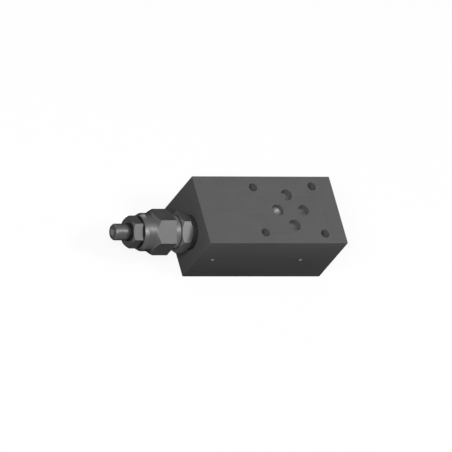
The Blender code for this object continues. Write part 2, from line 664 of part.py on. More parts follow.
def make_spring():
    """A coil with one closed turn at each end."""
    wire_start = PLATE_SHOULDER - SEAT_GAP - SPRING_WIRE_RADIUS
    centre_length = SPRING_LENGTH - 2 * SPRING_WIRE_RADIUS
    end_pitch = 2 * SPRING_WIRE_RADIUS + SPRING_END_GAP
    open_turns = SPRING_TURNS - SPRING_CLOSED_TURNS
    open_pitch = (centre_length - SPRING_CLOSED_TURNS * end_pitch) / open_turns
    count = int(SPRING_TURNS * SPRING_POINTS_PER_TURN)
    curve = bpy.data.curves.new("main_spring", "CURVE")
    curve.dimensions = "3D"
    curve.bevel_depth = SPRING_WIRE_RADIUS
    curve.bevel_resolution = 2
    curve.render_resolution_u = 0
    curve.use_fill_caps = True
    spline = curve.splines.new("POLY")
    spline.points.add(count)
    for index in range(count + 1):
        turns = index / SPRING_POINTS_PER_TURN
        first = min(turns, 1.0) * end_pitch
        middle = min(max(turns - 1.0, 0.0), open_turns) * open_pitch
        last = max(turns - 1.0 - open_turns, 0.0) * end_pitch
        angle = 2 * math.pi * turns
        spline.points[index].co = (SPRING_MEAN_RADIUS * math.cos(angle),
                                   SPRING_MEAN_RADIUS * math.sin(angle),
                                   wire_start - first - middle - last, 1.0)
    on_axis(place(bpy.data.objects.new("main_spring", curve), SPRING_STEEL))


def make_plunger(carrier):
    """The piston that the screw pushes, with a boss that centres the spring."""
    groove_start = PLUNGER_SHOULDER + PLUNGER_GROOVE_OFFSET
    groove_end = groove_start + PLUNGER_GROOVE_WIDTH
    groove_radius = plunger_seal_radius() - PLUNGER_SEAL_SECTION - SEAL_SIDE_GAP
    outline = [
        (0.0, -PLUNGER_SHOULDER + PLUNGER_BOSS_LENGTH),
        (SPRING_BOSS_RADIUS, -PLUNGER_SHOULDER + PLUNGER_BOSS_LENGTH),
        (SPRING_BOSS_RADIUS, -PLUNGER_SHOULDER),
        (PLUNGER_RADIUS, -PLUNGER_SHOULDER),
        (PLUNGER_RADIUS, -groove_start),
        (groove_radius, -groove_start),
        (groove_radius, -groove_end),
        (PLUNGER_RADIUS, -groove_end),
        (PLUNGER_RADIUS, -PLUNGER_END + PLUNGER_EDGE),
        (PLUNGER_RADIUS - PLUNGER_EDGE, -PLUNGER_END),
        (0.0, -PLUNGER_END),
    ]
    on_axis(turned("spring_plunger", outline, HARDENED_STEEL, FACETS_MEDIUM), carrier)
    middle = axis_point(-(groove_start + groove_end) / 2)
    seal_ring("plunger_seal", plunger_seal_radius(), PLUNGER_SEAL_SECTION, middle, parent=carrier)


def plunger_seal_radius():
    return SPRING_BORE_RADIUS - SEAL_SIDE_GAP - PLUNGER_SEAL_SECTION


def make_cap():
    """The adjuster cap: a hex that is square to the neck, a barrel, and a cone under the nut."""
    corner = CAP_FLATS / math.sqrt(3) + COLLAR_EDGE
    chamfer = (corner - CAP_BARREL_RADIUS) * CAP_HEX_CHAMFER_SLOPE
    outline = [
        (0.0, -NECK_END),
        (corner, -NECK_END),
        (corner, -CAP_HEX_END + chamfer),
        (CAP_BARREL_RADIUS, -CAP_HEX_END),
        (CAP_BARREL_RADIUS, -CAP_BARREL_END),
        (CAP_TIP_RADIUS, -CAP_END),
        (0.0, -CAP_END),
    ]
    cap = on_axis(turned("adjuster_cap", outline, CARTRIDGE_STEEL))
    cut_flats(cap, CAP_FLATS, -CAP_HEX_END - COLLAR_EDGE, -NECK_END + CUT_OVERSHOOT)
    spigot_bore = SPIGOT_RADIUS + SEAT_GAP
    relief_start = SPIGOT_END + SEAT_GAP
    relief_end = relief_start + CAP_RELIEF_LENGTH
    thread = SCREW_RADIUS + SEAT_GAP
    bore = [
        (0.0, -NECK_END + CUT_OVERSHOOT),
        (spigot_bore, -NECK_END + CUT_OVERSHOOT),
        (spigot_bore, -relief_start),
        (CAP_RELIEF_RADIUS, -relief_start),
        (CAP_RELIEF_RADIUS, -relief_end),
        (thread, -relief_end),
        (thread, -CAP_END - CUT_OVERSHOOT),
        (0.0, -CAP_END - CUT_OVERSHOOT),
    ]
    cut(cap, on_axis(turned("cap_bore", bore)))


def make_screw(carrier):
    """The adjusting screw: a plain point inside, a hexagon socket outside."""
    thread_start = SCREW_START + SCREW_POINT_LENGTH
    outline = [
        (0.0, -SCREW_START),
        (SCREW_POINT_RADIUS, -SCREW_START),
        (SCREW_POINT_RADIUS, -thread_start),
        (SCREW_RADIUS, -thread_start - SCREW_RADIUS + SCREW_POINT_RADIUS),
        (SCREW_RADIUS, -SCREW_END + SCREW_END_CHAMFER),
        (SCREW_END_RADIUS, -SCREW_END),
        (0.0, -SCREW_END),
    ]
    screw = on_axis(turned("adjusting_screw", outline, CARTRIDGE_STEEL), carrier)
    socket_radius = SOCKET_FLATS / math.sqrt(3)
    floor = -SCREW_END + SOCKET_DEPTH
    socket = [
        (0.0, floor + socket_radius / 2),
        (socket_radius, floor),
        (socket_radius, -SCREW_END - CUT_OVERSHOOT),
        (0.0, -SCREW_END - CUT_OVERSHOOT),
    ]
    cut(screw, on_axis(turned("screw_socket", socket, facets=HEX_SIDES)))


def make_nut(turner, slider):
    """The lock nut, chamfered on its outer end, and the seal ring held in its inner face."""
    corner = NUT_FLATS / math.sqrt(3) + COLLAR_EDGE
    chamfer = corner - NUT_FLATS / 2
    inner_face = CAP_END + SEAT_GAP
    seal_outer = SCREW_RADIUS + SEAT_GAP + NUT_SEAL_WIDTH
    seal_start = inner_face + SEAL_SIDE_GAP
    seal_end = seal_start + NUT_SEAL_THICKNESS
    outline = [
        (0.0, -inner_face),
        (corner, -inner_face),
        (corner, -NUT_END + chamfer),
        (NUT_FLATS / 2, -NUT_END),
        (0.0, -NUT_END),
    ]
    nut = on_axis(turned("lock_nut", outline, CARTRIDGE_STEEL), turner)
    cut_flats(nut, NUT_FLATS, -NUT_END - CUT_OVERSHOOT, -inner_face + CUT_OVERSHOOT)
    thread = SCREW_RADIUS + SEAT_GAP
    mouth = thread + NUT_MOUTH_CHAMFER
    bore = [
        (0.0, -inner_face + CUT_OVERSHOOT),
        (seal_outer + SEAT_GAP, -inner_face + CUT_OVERSHOOT),
        (seal_outer + SEAT_GAP, -seal_end - SEAT_GAP),
        (thread, -seal_end - SEAT_GAP),
        (thread, -NUT_END + NUT_MOUTH_CHAMFER),
        (mouth + CUT_OVERSHOOT, -NUT_END - CUT_OVERSHOOT),
        (0.0, -NUT_END - CUT_OVERSHOOT),
    ]
    cut(nut, on_axis(turned("nut_bore", bore)))
    ring = [(seal_outer, -seal_start), (seal_outer, -seal_end),
            (SCREW_RADIUS + SEAT_GAP, -seal_end), (SCREW_RADIUS + SEAT_GAP, -seal_start)]
    on_axis(turned("nut_seal", ring, BACKUP_PLASTIC, FACETS_MEDIUM, ring=True), slider)


def shade_round_faces():
    """Fixes each finished shape as a mesh, smooth on its round faces and sharp at its corners."""
    depsgraph = bpy.context.evaluated_depsgraph_get()
    finished = {}
    for part in PARTS.objects:
        if part.type == "MESH":
            finished[part] = bpy.data.meshes.new_from_object(part.evaluated_get(depsgraph))
    for part, mesh in finished.items():
        part.modifiers.clear()
        part.data = mesh
        mesh.shade_smooth()
        mesh.set_sharp_from_angle(angle=SHARP_ANGLE)


def build():
    block = make_block()
    cut_bolt_holes(block)
    for name, x, y, radius in (("p", 0.0, PORT_P_Y, PORT_RADIUS), ("t", 0.0, PORT_T_Y, PORT_RADIUS),
                               ("b", PORT_B_X, 0.0, PORT_B_RADIUS)):
        cut_through_port(block, name, x, y, radius)
    cut_port_a(block)
    cut_seal_recesses(block)
    cut_cavity(block)
    cut_gallery(block)
    make_label_pins(block)
    make_port_seals()
    make_gallery_plug()

    make_cartridge_body()
    make_cartridge_seals()
    make_valve_seat()
    poppet_carrier = empty_at("poppet_slide", axis_point(SEAT_FACE))
    make_poppet(poppet_carrier)
    make_spring_plate(poppet_carrier)
    make_spring()
    plunger_carrier = empty_at("plunger_slide", axis_point(-PLUNGER_END))
    make_plunger(plunger_carrier)
    make_cap()
    make_screw(empty_at("screw_turn", axis_point(-SCREW_START)))
    make_nut(empty_at("nut_turn", axis_point(-CAP_END)), empty_at("nut_slide", axis_point(-CAP_END)))
    shade_round_faces()


build()
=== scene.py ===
# %% [markdown]
# This lesson dresses a hydraulic sandwich valve: a drilled steel block with a pressure cartridge
# screwed into one end. The mechanical model is already finished and packed, so it is loaded here as a
# fixed frame. Each visible piece is then turned, drilled or milled again as a finer mesh in the same
# place, and gets the finish that the real piece has. Everything is in metres: +X runs along the block,
# away from the adjuster, +Y to the back and +Z up, and the block rests on the floor at Z = 0.

# %% Load the mechanical frame
import json
import math

import bmesh
import bpy
from mathutils import Matrix, Vector

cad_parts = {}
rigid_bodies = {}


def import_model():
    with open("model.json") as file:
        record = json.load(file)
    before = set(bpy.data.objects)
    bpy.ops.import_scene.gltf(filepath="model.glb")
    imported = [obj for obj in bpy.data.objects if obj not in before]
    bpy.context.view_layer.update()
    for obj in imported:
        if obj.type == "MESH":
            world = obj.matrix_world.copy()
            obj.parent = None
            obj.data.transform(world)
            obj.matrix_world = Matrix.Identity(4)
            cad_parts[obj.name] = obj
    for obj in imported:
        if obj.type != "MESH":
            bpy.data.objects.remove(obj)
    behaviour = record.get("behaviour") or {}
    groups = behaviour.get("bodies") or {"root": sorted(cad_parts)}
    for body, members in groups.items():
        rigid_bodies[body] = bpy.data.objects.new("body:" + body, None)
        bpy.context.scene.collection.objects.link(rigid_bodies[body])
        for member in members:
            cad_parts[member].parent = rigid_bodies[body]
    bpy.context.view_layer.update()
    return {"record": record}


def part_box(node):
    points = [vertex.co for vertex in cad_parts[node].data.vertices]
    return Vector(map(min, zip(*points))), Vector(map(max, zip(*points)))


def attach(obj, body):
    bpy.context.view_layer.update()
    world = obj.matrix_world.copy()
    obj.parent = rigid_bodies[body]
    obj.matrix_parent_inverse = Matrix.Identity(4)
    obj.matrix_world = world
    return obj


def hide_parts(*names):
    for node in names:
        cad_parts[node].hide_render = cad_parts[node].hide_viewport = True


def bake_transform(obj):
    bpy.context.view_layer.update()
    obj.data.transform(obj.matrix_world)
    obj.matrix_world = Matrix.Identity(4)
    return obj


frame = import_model()

# %% [markdown]
# A piece that stands for a node has to lie exactly where the node lies. So the main places are read
# from the frame: the faces of the block, the cartridge's axis, and how far out each turned piece
# reaches. Only the steps between those places are written here as sizes.

# %% Places read from the frame
BLOCK_LOW, BLOCK_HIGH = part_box("valve_body")
CARTRIDGE_LOW, CARTRIDGE_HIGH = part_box("cartridge_body")
CAP_LOW, CAP_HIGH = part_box("adjuster_cap")
NUT_LOW, NUT_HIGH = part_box("lock_nut")
SCREW_LOW, SCREW_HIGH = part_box("adjusting_screw")

FACE_X = BLOCK_LOW.x
AXIS_Y = (SCREW_LOW.y + SCREW_HIGH.y) / 2
AXIS_Z = (SCREW_LOW.z + SCREW_HIGH.z) / 2
print(f"Left face at {FACE_X * 1000:.2f} mm, axis at Y {AXIS_Y * 1000:.2f}, Z {AXIS_Z * 1000:.2f} mm")

# %% [markdown]
# The photo's view is almost parallel: a camera ten metres away with a very long lens. Its three
# directions were worked out from the block's edges, and its middle is a point near the left end, so
# that the block lies in the frame as it does in the photo.

# %% Camera
VIEW_RIGHT = Vector((0.87038, -0.24592, 0.42657))
VIEW_UP = Vector((-0.00142, 0.86508, 0.50163))
VIEW_BACK = VIEW_RIGHT.cross(VIEW_UP).normalized()
VIEW_CENTRE = Vector((-0.043563, -0.007679, 0.033750))
VIEW_DISTANCE = 10.0
FIELD_WIDTH = 0.26883
SENSOR_WIDTH = 36.0
CLIP_NEAR = 1.0
CLIP_FAR = 30.0

camera_data = bpy.data.cameras.new("view")
camera_data.sensor_width = SENSOR_WIDTH
camera_data.lens = SENSOR_WIDTH * VIEW_DISTANCE / FIELD_WIDTH
camera_data.clip_start = CLIP_NEAR
camera_data.clip_end = CLIP_FAR
camera = bpy.data.objects.new("view", camera_data)
bpy.context.scene.collection.objects.link(camera)
turn = Matrix((VIEW_RIGHT, VIEW_UP, VIEW_BACK)).transposed().to_4x4()
camera.matrix_world = Matrix.Translation(VIEW_CENTRE + VIEW_BACK * VIEW_DISTANCE) @ turn
bpy.context.scene.camera = camera
print(f"Lens {camera_data.lens:.0f} mm")

# %% [markdown]
# The floor, the world and every finish are made of shader nodes. A few helpers keep their making
# short. An input gets either a plain value or a link from another node's socket.

# %% Helpers for shader nodes
def give(socket, value):
    """Links an input to another socket, or sets its value."""
    if isinstance(value, bpy.types.NodeSocket):
        socket.id_data.links.new(value, socket)
    else:
        socket.default_value = value


def feed(node, **inputs):
    """Gives a node's inputs by name, with _ for a space."""
    for label, value in inputs.items():
        give(node.inputs[label.replace("_", " ")], value)
    return node


def new_node(tree, kind, **inputs):
    return feed(tree.nodes.new(kind), **inputs)


def math_node(tree, operation, *values, kind="ShaderNodeMath"):
    """A Math node. It returns its output."""
    node = tree.nodes.new(kind)
    node.operation = operation
    for socket, value in zip(node.inputs, values):
        give(socket, value)
    return node.outputs[0]


def vector_node(tree, operation, *values):
    return math_node(tree, operation, *values, kind="ShaderNodeVectorMath")


# %% [markdown]
# The background is white because the floor and the world are white to camera, glossy and transmission
# rays only, so it adds no light to the object's own colour. A small share of the floor is real paint,
# which keeps the object's shadow. To all other rays the world is a low fill.

# %% Stage: floor and world
FLOOR_SIZE = 6.0
FLOOR_DROP = 0.0002
FLOOR_WHITE_SHARE = 0.90
FLOOR_PAINT = 1.00
FLOOR_PAINT_BOUNCED = 0.05
FILL_STRENGTH = 0.05
WHITE = (1.0, 1.0, 1.0, 1.0)


def background_rays(tree):
    """One for rays that see the background: camera, glossy and transmission rays."""
    path = tree.nodes.new("ShaderNodeLightPath")
    seen = path.outputs["Is Camera Ray"]
    for ray in ("Is Glossy Ray", "Is Transmission Ray"):
        seen = math_node(tree, "MAXIMUM", seen, path.outputs[ray])
    return seen


def put_out(tree, share, first, second, output):
    """Mixes two shader nodes by a share, and sends the result to the output."""
    mix = new_node(tree, "ShaderNodeMixShader", Fac=share)
    give(mix.inputs[1], first.outputs[0])
    give(mix.inputs[2], second.outputs[0])
    new_node(tree, output, Surface=mix.outputs["Shader"])


def make_floor():
    bpy.ops.mesh.primitive_plane_add(size=FLOOR_SIZE, location=(0.0, 0.0, BLOCK_LOW.z - FLOOR_DROP))
    floor = bpy.context.object
    floor.name = "floor"
    material = bpy.data.materials.new("pale_floor")
    material.use_nodes = True
    tree = material.node_tree
    tree.nodes.clear()
    seen = background_rays(tree)
    tone = new_node(tree, "ShaderNodeMapRange", Value=seen, To_Min=FLOOR_PAINT_BOUNCED,
                    To_Max=FLOOR_PAINT)
    paint = new_node(tree, "ShaderNodeBsdfDiffuse", Color=tone.outputs["Result"])
    share = math_node(tree, "MULTIPLY", seen, FLOOR_WHITE_SHARE)
    put_out(tree, share, paint, tree.nodes.new("ShaderNodeEmission"), "ShaderNodeOutputMaterial")
    floor.data.materials.append(material)


def make_world():
    world = bpy.data.worlds.new("plain_studio")
    bpy.context.scene.world = world
    world.use_nodes = True
    tree = world.node_tree
    tree.nodes.clear()
    fill = new_node(tree, "ShaderNodeBackground", Color=WHITE, Strength=FILL_STRENGTH)
    white = new_node(tree, "ShaderNodeBackground", Color=WHITE)
    put_out(tree, background_rays(tree), fill, white, "ShaderNodeOutputWorld")


make_floor()
make_world()
bpy.context.scene.view_settings.view_transform = "Standard"
print("Floor and world are in place")

# %% [markdown]
# Five soft lamps light the object at a plain level. The key stands near the camera, a little further
# back, so that a face is as bright as it is turned to the viewer. The side lamp stands where turned
# steel mirrors it to the camera. A weak one overhead, one behind and one at the right light the sides
# that other views show.

# %% Lamps
LAMP_DISTANCE = 1.2
KEY_SHARE = 0.66
KEY_SIZE = 0.55
KEY_SHIFT = Vector((-0.035, 0.11, 0.0))
SIDE_SHARE = 0.38
SIDE_SIZE = 0.30
SIDE_FROM = Vector((0.50, -0.20, 0.84))
OVERHEAD_SHARE = 0.10
OVERHEAD_SIZE = 0.80
OVERHEAD_FROM = Vector((0.05, 0.10, 1.00))
FAR_SIDE_SHARE = 0.25
FAR_SIDE_SIZE = 0.25
BACK_FROM = Vector((0.00, 1.00, 0.12))
RIGHT_FROM = Vector((1.00, 0.00, 0.12))


def soft_box(name, direction, size, share):
    """A round lamp that the camera doesn't see. A share of 1 shows a facing colour as it is written."""
    data = bpy.data.lights.new(name, "AREA")
    data.shape = "DISK"
    data.size = size
    data.energy = share * (math.pi * LAMP_DISTANCE) ** 2
    lamp = bpy.data.objects.new(name, data)
    bpy.context.scene.collection.objects.link(lamp)
    toward = direction.normalized()
    lamp.location = VIEW_CENTRE + toward * LAMP_DISTANCE
    lamp.rotation_euler = toward.to_track_quat("Z", "Y").to_euler()
    lamp.visible_camera = False
    print(f"{name}: {data.energy:.1f} W")


soft_box("key", VIEW_BACK + KEY_SHIFT, KEY_SIZE, KEY_SHARE)
soft_box("side", SIDE_FROM, SIDE_SIZE, SIDE_SHARE)
soft_box("overhead", OVERHEAD_FROM, OVERHEAD_SIZE, OVERHEAD_SHARE)
soft_box("behind", BACK_FROM, FAR_SIDE_SIZE, FAR_SIDE_SHARE)
soft_box("right", RIGHT_FROM, FAR_SIDE_SIZE, FAR_SIDE_SHARE)

# %% [markdown]
# Every finish here is metal, rubber or plastic with a fine texture that is well under a millimetre, so
# it shows as a slight change of tone and gloss and not as a pattern. Grain is one shader group, shared
# by all finishes: noise in the piece's own coordinates, so that it rides with the piece.

# %% Shader group: grain
GRAIN_DETAIL = 6.0
CLOUD_DETAIL = 3.0
SOCKET_KINDS = {"Place": "Vector", "Low": "Vector", "High": "Vector", "Tone": "Color",
                "Color": "Color"}


def new_group(name, inputs, outputs):
    """A shader group. Inputs are names with defaults. A socket with no listed kind is a number."""
    tree = bpy.data.node_groups.new(name, "ShaderNodeTree")
    kinds = {label: "NodeSocket" + SOCKET_KINDS.get(label, "Float") for label in (*inputs, *outputs)}
    for label, value in inputs.items():
        socket = tree.interface.new_socket(name=label, in_out="INPUT", socket_type=kinds[label])
        if value is not None:
            socket.default_value = value
    for label in outputs:
        tree.interface.new_socket(name=label, in_out="OUTPUT", socket_type=kinds[label])
    return tree, tree.nodes.new("NodeGroupInput"), tree.nodes.new("NodeGroupOutput")


def noise_swing(tree, place, size, detail):
    """Noise of a given size in metres, as a swing round zero."""
    noise = new_node(tree, "ShaderNodeTexNoise", Detail=detail, Vector=place,
                     Scale=math_node(tree, "DIVIDE", 1.0, size))
    return math_node(tree, "SUBTRACT", noise.outputs["Fac"], 0.5)


def scaled_tone(tree, colour, factor):
    """The colour times a factor that is 1 on average."""
    scale = tree.nodes.new("ShaderNodeVectorMath")
    scale.operation = "SCALE"
    give(scale.inputs[0], colour)
    return feed(scale, Scale=factor).outputs["Vector"]


def grain_group():
    tree, given, result = new_group(
        "grain",
        {"Place": None, "Tone": None, "Roughness": 0.5, "Size": 0.0004, "Cloud Size": 0.008,
         "Tone Change": 0.30, "Cloud Change": 0.15, "Gloss Change": 0.15, "Depth": 0.000004},
        ("Color", "Roughness", "Height"))
    place = given.outputs["Place"]
    fine = noise_swing(tree, place, given.outputs["Size"], GRAIN_DETAIL)
    cloud = noise_swing(tree, place, given.outputs["Cloud Size"], CLOUD_DETAIL)
    factor = math_node(tree, "MULTIPLY_ADD", fine, given.outputs["Tone Change"], 1.0)
    factor = math_node(tree, "MULTIPLY_ADD", cloud, given.outputs["Cloud Change"], factor)
    swing = math_node(tree, "ADD", fine, cloud)
    rough = math_node(tree, "MULTIPLY_ADD", swing, given.outputs["Gloss Change"],
                      given.outputs["Roughness"])
    feed(result, Color=scaled_tone(tree, given.outputs["Tone"], factor), Roughness=rough,
         Height=math_node(tree, "MULTIPLY", fine, given.outputs["Depth"]))
    return tree


GRAIN = grain_group()
print(f"Shader group {GRAIN.name}: {len(GRAIN.nodes)} nodes")

# %% [markdown]
# A turning tool leaves rings. On a cylinder their distance runs along the axis, and on an end face it
# runs outwards, so the ring's phase is the distance along the axis plus the radius. A turned piece has
# its axis at its own origin, so both come straight from its own coordinates.

# %% Shader group: turning marks
RING_UNEVENNESS = 0.6
RING_WAVE = 0.12
LINE_DETAIL = 3.0


def turning_group():
    tree, given, result = new_group(
        "turning_marks", {"Place": None, "Pitch": 0.0002, "Depth": 0.000002}, ("Lines", "Height"))
    parts = new_node(tree, "ShaderNodeSeparateXYZ", Vector=given.outputs["Place"])
    squares = [math_node(tree, "POWER", parts.outputs[axis], 2.0) for axis in "YZ"]
    radius = math_node(tree, "SQRT", math_node(tree, "ADD", *squares))
    run = math_node(tree, "ADD", parts.outputs["X"], radius)
    phase = math_node(tree, "DIVIDE", run, given.outputs["Pitch"])
    uneven = tree.nodes.new("ShaderNodeTexNoise")
    uneven.noise_dimensions = "1D"
    feed(uneven, Scale=RING_UNEVENNESS, Detail=LINE_DETAIL, W=phase)
    wave = math_node(tree, "SINE", math_node(tree, "MULTIPLY", phase, 2 * math.pi))
    lines = math_node(tree, "MULTIPLY_ADD", wave, RING_WAVE, uneven.outputs["Fac"])
    feed(result, Lines=math_node(tree, "SUBTRACT", lines, 0.5),
         Height=math_node(tree, "MULTIPLY", lines, given.outputs["Depth"]))
    return tree


TURNING = turning_group()
print(f"Shader group {TURNING.name}: {len(TURNING.nodes)} nodes")

# %% [markdown]
# A milled or ground face has a straight lay: fine scratches that run the length of the block. Noise
# stretched along X gives them.

# %% Shader group: straight lay
def lay_group():
    tree, given, result = new_group(
        "straight_lay", {"Place": None, "Width": 0.0002, "Length": 0.02, "Depth": 0.000002},
        ("Lines", "Height"))
    parts = new_node(tree, "ShaderNodeSeparateXYZ", Vector=given.outputs["Place"])
    stretched = tree.nodes.new("ShaderNodeCombineXYZ")
    for axis, span in (("X", "Length"), ("Y", "Width"), ("Z", "Width")):
        scaled = math_node(tree, "DIVIDE", parts.outputs[axis], given.outputs[span])
        give(stretched.inputs[axis], scaled)
    noise = new_node(tree, "ShaderNodeTexNoise", Scale=1.0, Detail=LINE_DETAIL,
                     Vector=stretched.outputs["Vector"])
    lines = math_node(tree, "SUBTRACT", noise.outputs["Fac"], 0.5)
    feed(result, Lines=lines, Height=math_node(tree, "MULTIPLY", lines, given.outputs["Depth"]))
    return tree


LAY = lay_group()
print(f"Shader group {LAY.name}: {len(LAY.nodes)} nodes")

# %% [markdown]
# Handling rubs the blackening off an edge first, so the edges of the block are a little lighter.
# On a box the distance to the nearest edge follows from the place alone: of the three
# distances to the box's faces, one is zero on the surface, and the next larger is the distance to the
# edge.

# %% Shader group: rubbed edges
RAGGED_SIZE = 0.0015
RAGGED_DETAIL = 4.0
RAGGED_REACH = 2.0


def rubbed_group():
    tree, given, result = new_group(
        "rubbed_edges", {"Place": None, "Low": None, "High": None, "Width": 0.0006}, ("Mask",))
    place = given.outputs["Place"]
    from_low = vector_node(tree, "SUBTRACT", place, given.outputs["Low"])
    from_high = vector_node(tree, "SUBTRACT", given.outputs["High"], place)
    nearest = vector_node(tree, "MINIMUM", from_low, from_high)
    x, y, z = new_node(tree, "ShaderNodeSeparateXYZ", Vector=nearest).outputs
    lesser = math_node(tree, "MINIMUM", x, y)
    greater = math_node(tree, "MAXIMUM", x, y)
    edge = math_node(tree, "MAXIMUM", lesser, math_node(tree, "MINIMUM", greater, z))
    ragged = noise_swing(tree, place, RAGGED_SIZE, RAGGED_DETAIL)
    share = math_node(tree, "DIVIDE", edge, given.outputs["Width"])
    share = math_node(tree, "MULTIPLY_ADD", ragged, RAGGED_REACH, share)
    fade = math_node(tree, "SUBTRACT", 1.0, share)
    fade.node.use_clamp = True
    feed(result, Mask=fade)
    return tree


RUBBED = rubbed_group()
print(f"Shader group {RUBBED.name}: {len(RUBBED.nodes)} nodes")

# %% [markdown]
# The finishes themselves differ in tone, gloss, and in which marks they carry. A blackened face is
# matte and hardly mirrors anything. Blackened turned steel still mirrors as metal does, so it is
# metallic in a dark tone.

# %% Finishes
def put_group(tree, group, **values):
    """Places a shader group in a material, with its own values."""
    node = tree.nodes.new("ShaderNodeGroup")
    node.node_tree = group
    return feed(node, **values)


def new_finish(name, tone, roughness, metallic, **grain_values):
    """A Principled material with the grain group on it. It returns the parts that marks build on."""
    material = bpy.data.materials.new(name)
    material.use_nodes = True
    tree = material.node_tree
    shader = tree.nodes["Principled BSDF"]
    place = tree.nodes.new("ShaderNodeTexCoord").outputs["Object"]
    grain = put_group(tree, GRAIN, Place=place, Tone=(*tone, 1.0), Roughness=roughness,
                      **grain_values)
    bump = new_node(tree, "ShaderNodeBump", Distance=1.0, Height=grain.outputs["Height"])
    feed(shader, Metallic=metallic, Base_Color=grain.outputs["Color"],
         Roughness=grain.outputs["Roughness"], Normal=bump.outputs["Normal"])
    return material, shader, place, grain, bump


def add_marks(finish, group, tone_change, gloss_change, **values):
    """Adds a group of tool marks to a finish: to its relief, its tone and its gloss."""
    material, shader, place, grain, bump = finish
    tree = material.node_tree
    marks = put_group(tree, group, Place=place, **values)
    lines = marks.outputs["Lines"]
    feed(bump, Height=math_node(tree, "ADD", grain.outputs["Height"], marks.outputs["Height"]))
    factor = math_node(tree, "MULTIPLY_ADD", lines, tone_change, 1.0)
    rough = math_node(tree, "MULTIPLY_ADD", lines, gloss_change, grain.outputs["Roughness"])
    feed(shader, Base_Color=scaled_tone(tree, grain.outputs["Color"], factor), Roughness=rough)


def rub_edges(finish, low, high, tone_gain):
    """Makes a box's edges lighter by a share, where handling has rubbed them."""
    material, shader, place, _, _ = finish
    tree = material.node_tree
    rubbed = put_group(tree, RUBBED, Place=place, Low=low, High=high)
    factor = math_node(tree, "MULTIPLY_ADD", rubbed.outputs["Mask"], tone_gain, 1.0)
    before = shader.inputs["Base Color"].links[0].from_socket
    feed(shader, Base_Color=scaled_tone(tree, before, factor))


# %% [markdown]
# The block is blackened all over, also in its holes, and nearly free of gloss. The slanted drillings
# have a lighter, slightly metallic finish: a painted highlight on the far wall that faces the camera.

# %% The block's finishes
MATTE_LEVEL = 0.02
EDGE_GAIN = 0.15


def matte_finish(name, tone, roughness, **grain_values):
    finish = new_finish(name, (tone, tone, tone), roughness, 0.0, **grain_values)
    feed(finish[1], Specular_IOR_Level=MATTE_LEVEL)
    return finish


def block_finish():
    finish = matte_finish("blackened_block", 0.115, 0.62, Size=0.0005, Cloud_Size=0.009,
                          Depth=0.000006)
    add_marks(finish, LAY, 0.25, 0.15, Width=0.00035, Length=0.03, Depth=0.000008)
    rub_edges(finish, BLOCK_LOW, BLOCK_HIGH, EDGE_GAIN)
    return finish[0]


BLOCK_FINISH = block_finish()
# Painted light: the holes get a lighter copy of the blackened finish, against the shade inside them.
PAINTED_LIGHT_BORE_FINISH = matte_finish("blackened_bore_painted_light", 0.15, 0.6, Size=0.0003, Depth=0.000004)[0]
# Painted highlight: a lighter, slightly metallic copy of the block's steel, for the slanted drillings.
PAINTED_HIGHLIGHT_FINISH = new_finish("bright_drilling", (0.27, 0.27, 0.27), 0.5, 0.3, Size=0.0003,
                           Depth=0.000004)[0]
print("Block finishes:", BLOCK_FINISH.name, PAINTED_LIGHT_BORE_FINISH.name, PAINTED_HIGHLIGHT_FINISH.name)

# %% [markdown]
# The cartridge's steel is blackened after turning. Its black edge tint takes away the bright rim that
# metal shows on faces that turn away from the viewer. The inner parts are ground bright.

# %% The finishes of the turned parts
METAL = 1.0
BLACK_TINT = 0.0
GROUND_TINT = 0.6
TURNING_PITCH = 0.00022
GRINDING_PITCH = 0.00006


def turned_finish(name, tone, roughness, edge_tint, pitch):
    finish = new_finish(name, tone, roughness, METAL, Size=0.0004, Depth=0.000001,
                        Gloss_Change=0.12)
    feed(finish[1], Specular_Tint=(edge_tint, edge_tint, edge_tint, 1.0))
    add_marks(finish, TURNING, 0.25, 0.25, Pitch=pitch, Depth=0.0000025)
    return finish[0]


def plain_finish(name, tone, roughness, metallic, **grain_values):
    return new_finish(name, tone, roughness, metallic, **grain_values)[0]


TURNED_FINISH = turned_finish("turned_black", (0.095, 0.095, 0.095), 0.42, BLACK_TINT,
                              TURNING_PITCH)
# Painted light: a lighter copy of the turned finish, the same in gloss, for the cartridge body, whose
# collar, hexagon and neck stand in the block's shade.
LIGHTENED_TURNED_FINISH = turned_finish("turned_black_painted_light", (0.13, 0.13, 0.13), 0.42, BLACK_TINT,
                            TURNING_PITCH)
GROUND_FINISH = turned_finish("ground_steel", (0.30, 0.30, 0.31), 0.28, GROUND_TINT,
                              GRINDING_PITCH)
# Painted light: the socket's walls are much lighter than the screw, though the socket lies in shade.
PAINTED_LIGHT_SOCKET_FINISH = plain_finish("socket_painted_light", (0.26, 0.26, 0.26), 0.5, 0.2, Size=0.0003)
PIN_FINISH = plain_finish("drive_pin", (0.13, 0.13, 0.13), 0.5, METAL, Size=0.0003, Depth=0.000002)
WIRE_FINISH = plain_finish("spring_wire", (0.20, 0.20, 0.21), 0.35, METAL, Size=0.0002,
                           Depth=0.000002)
RUBBER_FINISH = plain_finish("seal_rubber", (0.015, 0.015, 0.015), 0.6, 0.0, Size=0.0002,
                             Depth=0.000005)
PLASTIC_FINISH = plain_finish("backup_plastic", (0.62, 0.60, 0.54), 0.5, 0.0, Size=0.0005,
                              Tone_Change=0.06, Depth=0.000002)

SLOT_FINISHES = {
    "block_steel": BLOCK_FINISH,
    "cartridge_steel": TURNED_FINISH,
    "hardened_steel": GROUND_FINISH,
    "spring_steel": WIRE_FINISH,
    "seal_rubber": RUBBER_FINISH,
    "backup_plastic": PLASTIC_FINISH,
}
print(f"{len(SLOT_FINISHES)} finishes, one for each material slot of the record")

# %% [markdown]
# The pieces that stay as the mechanical model has them get their finish here: the slot that the record
# gives each node says which one.

# %% Dress the frame's own pieces
def dress(obj, finish):
    obj.data.materials.clear()
    obj.data.materials.append(finish)


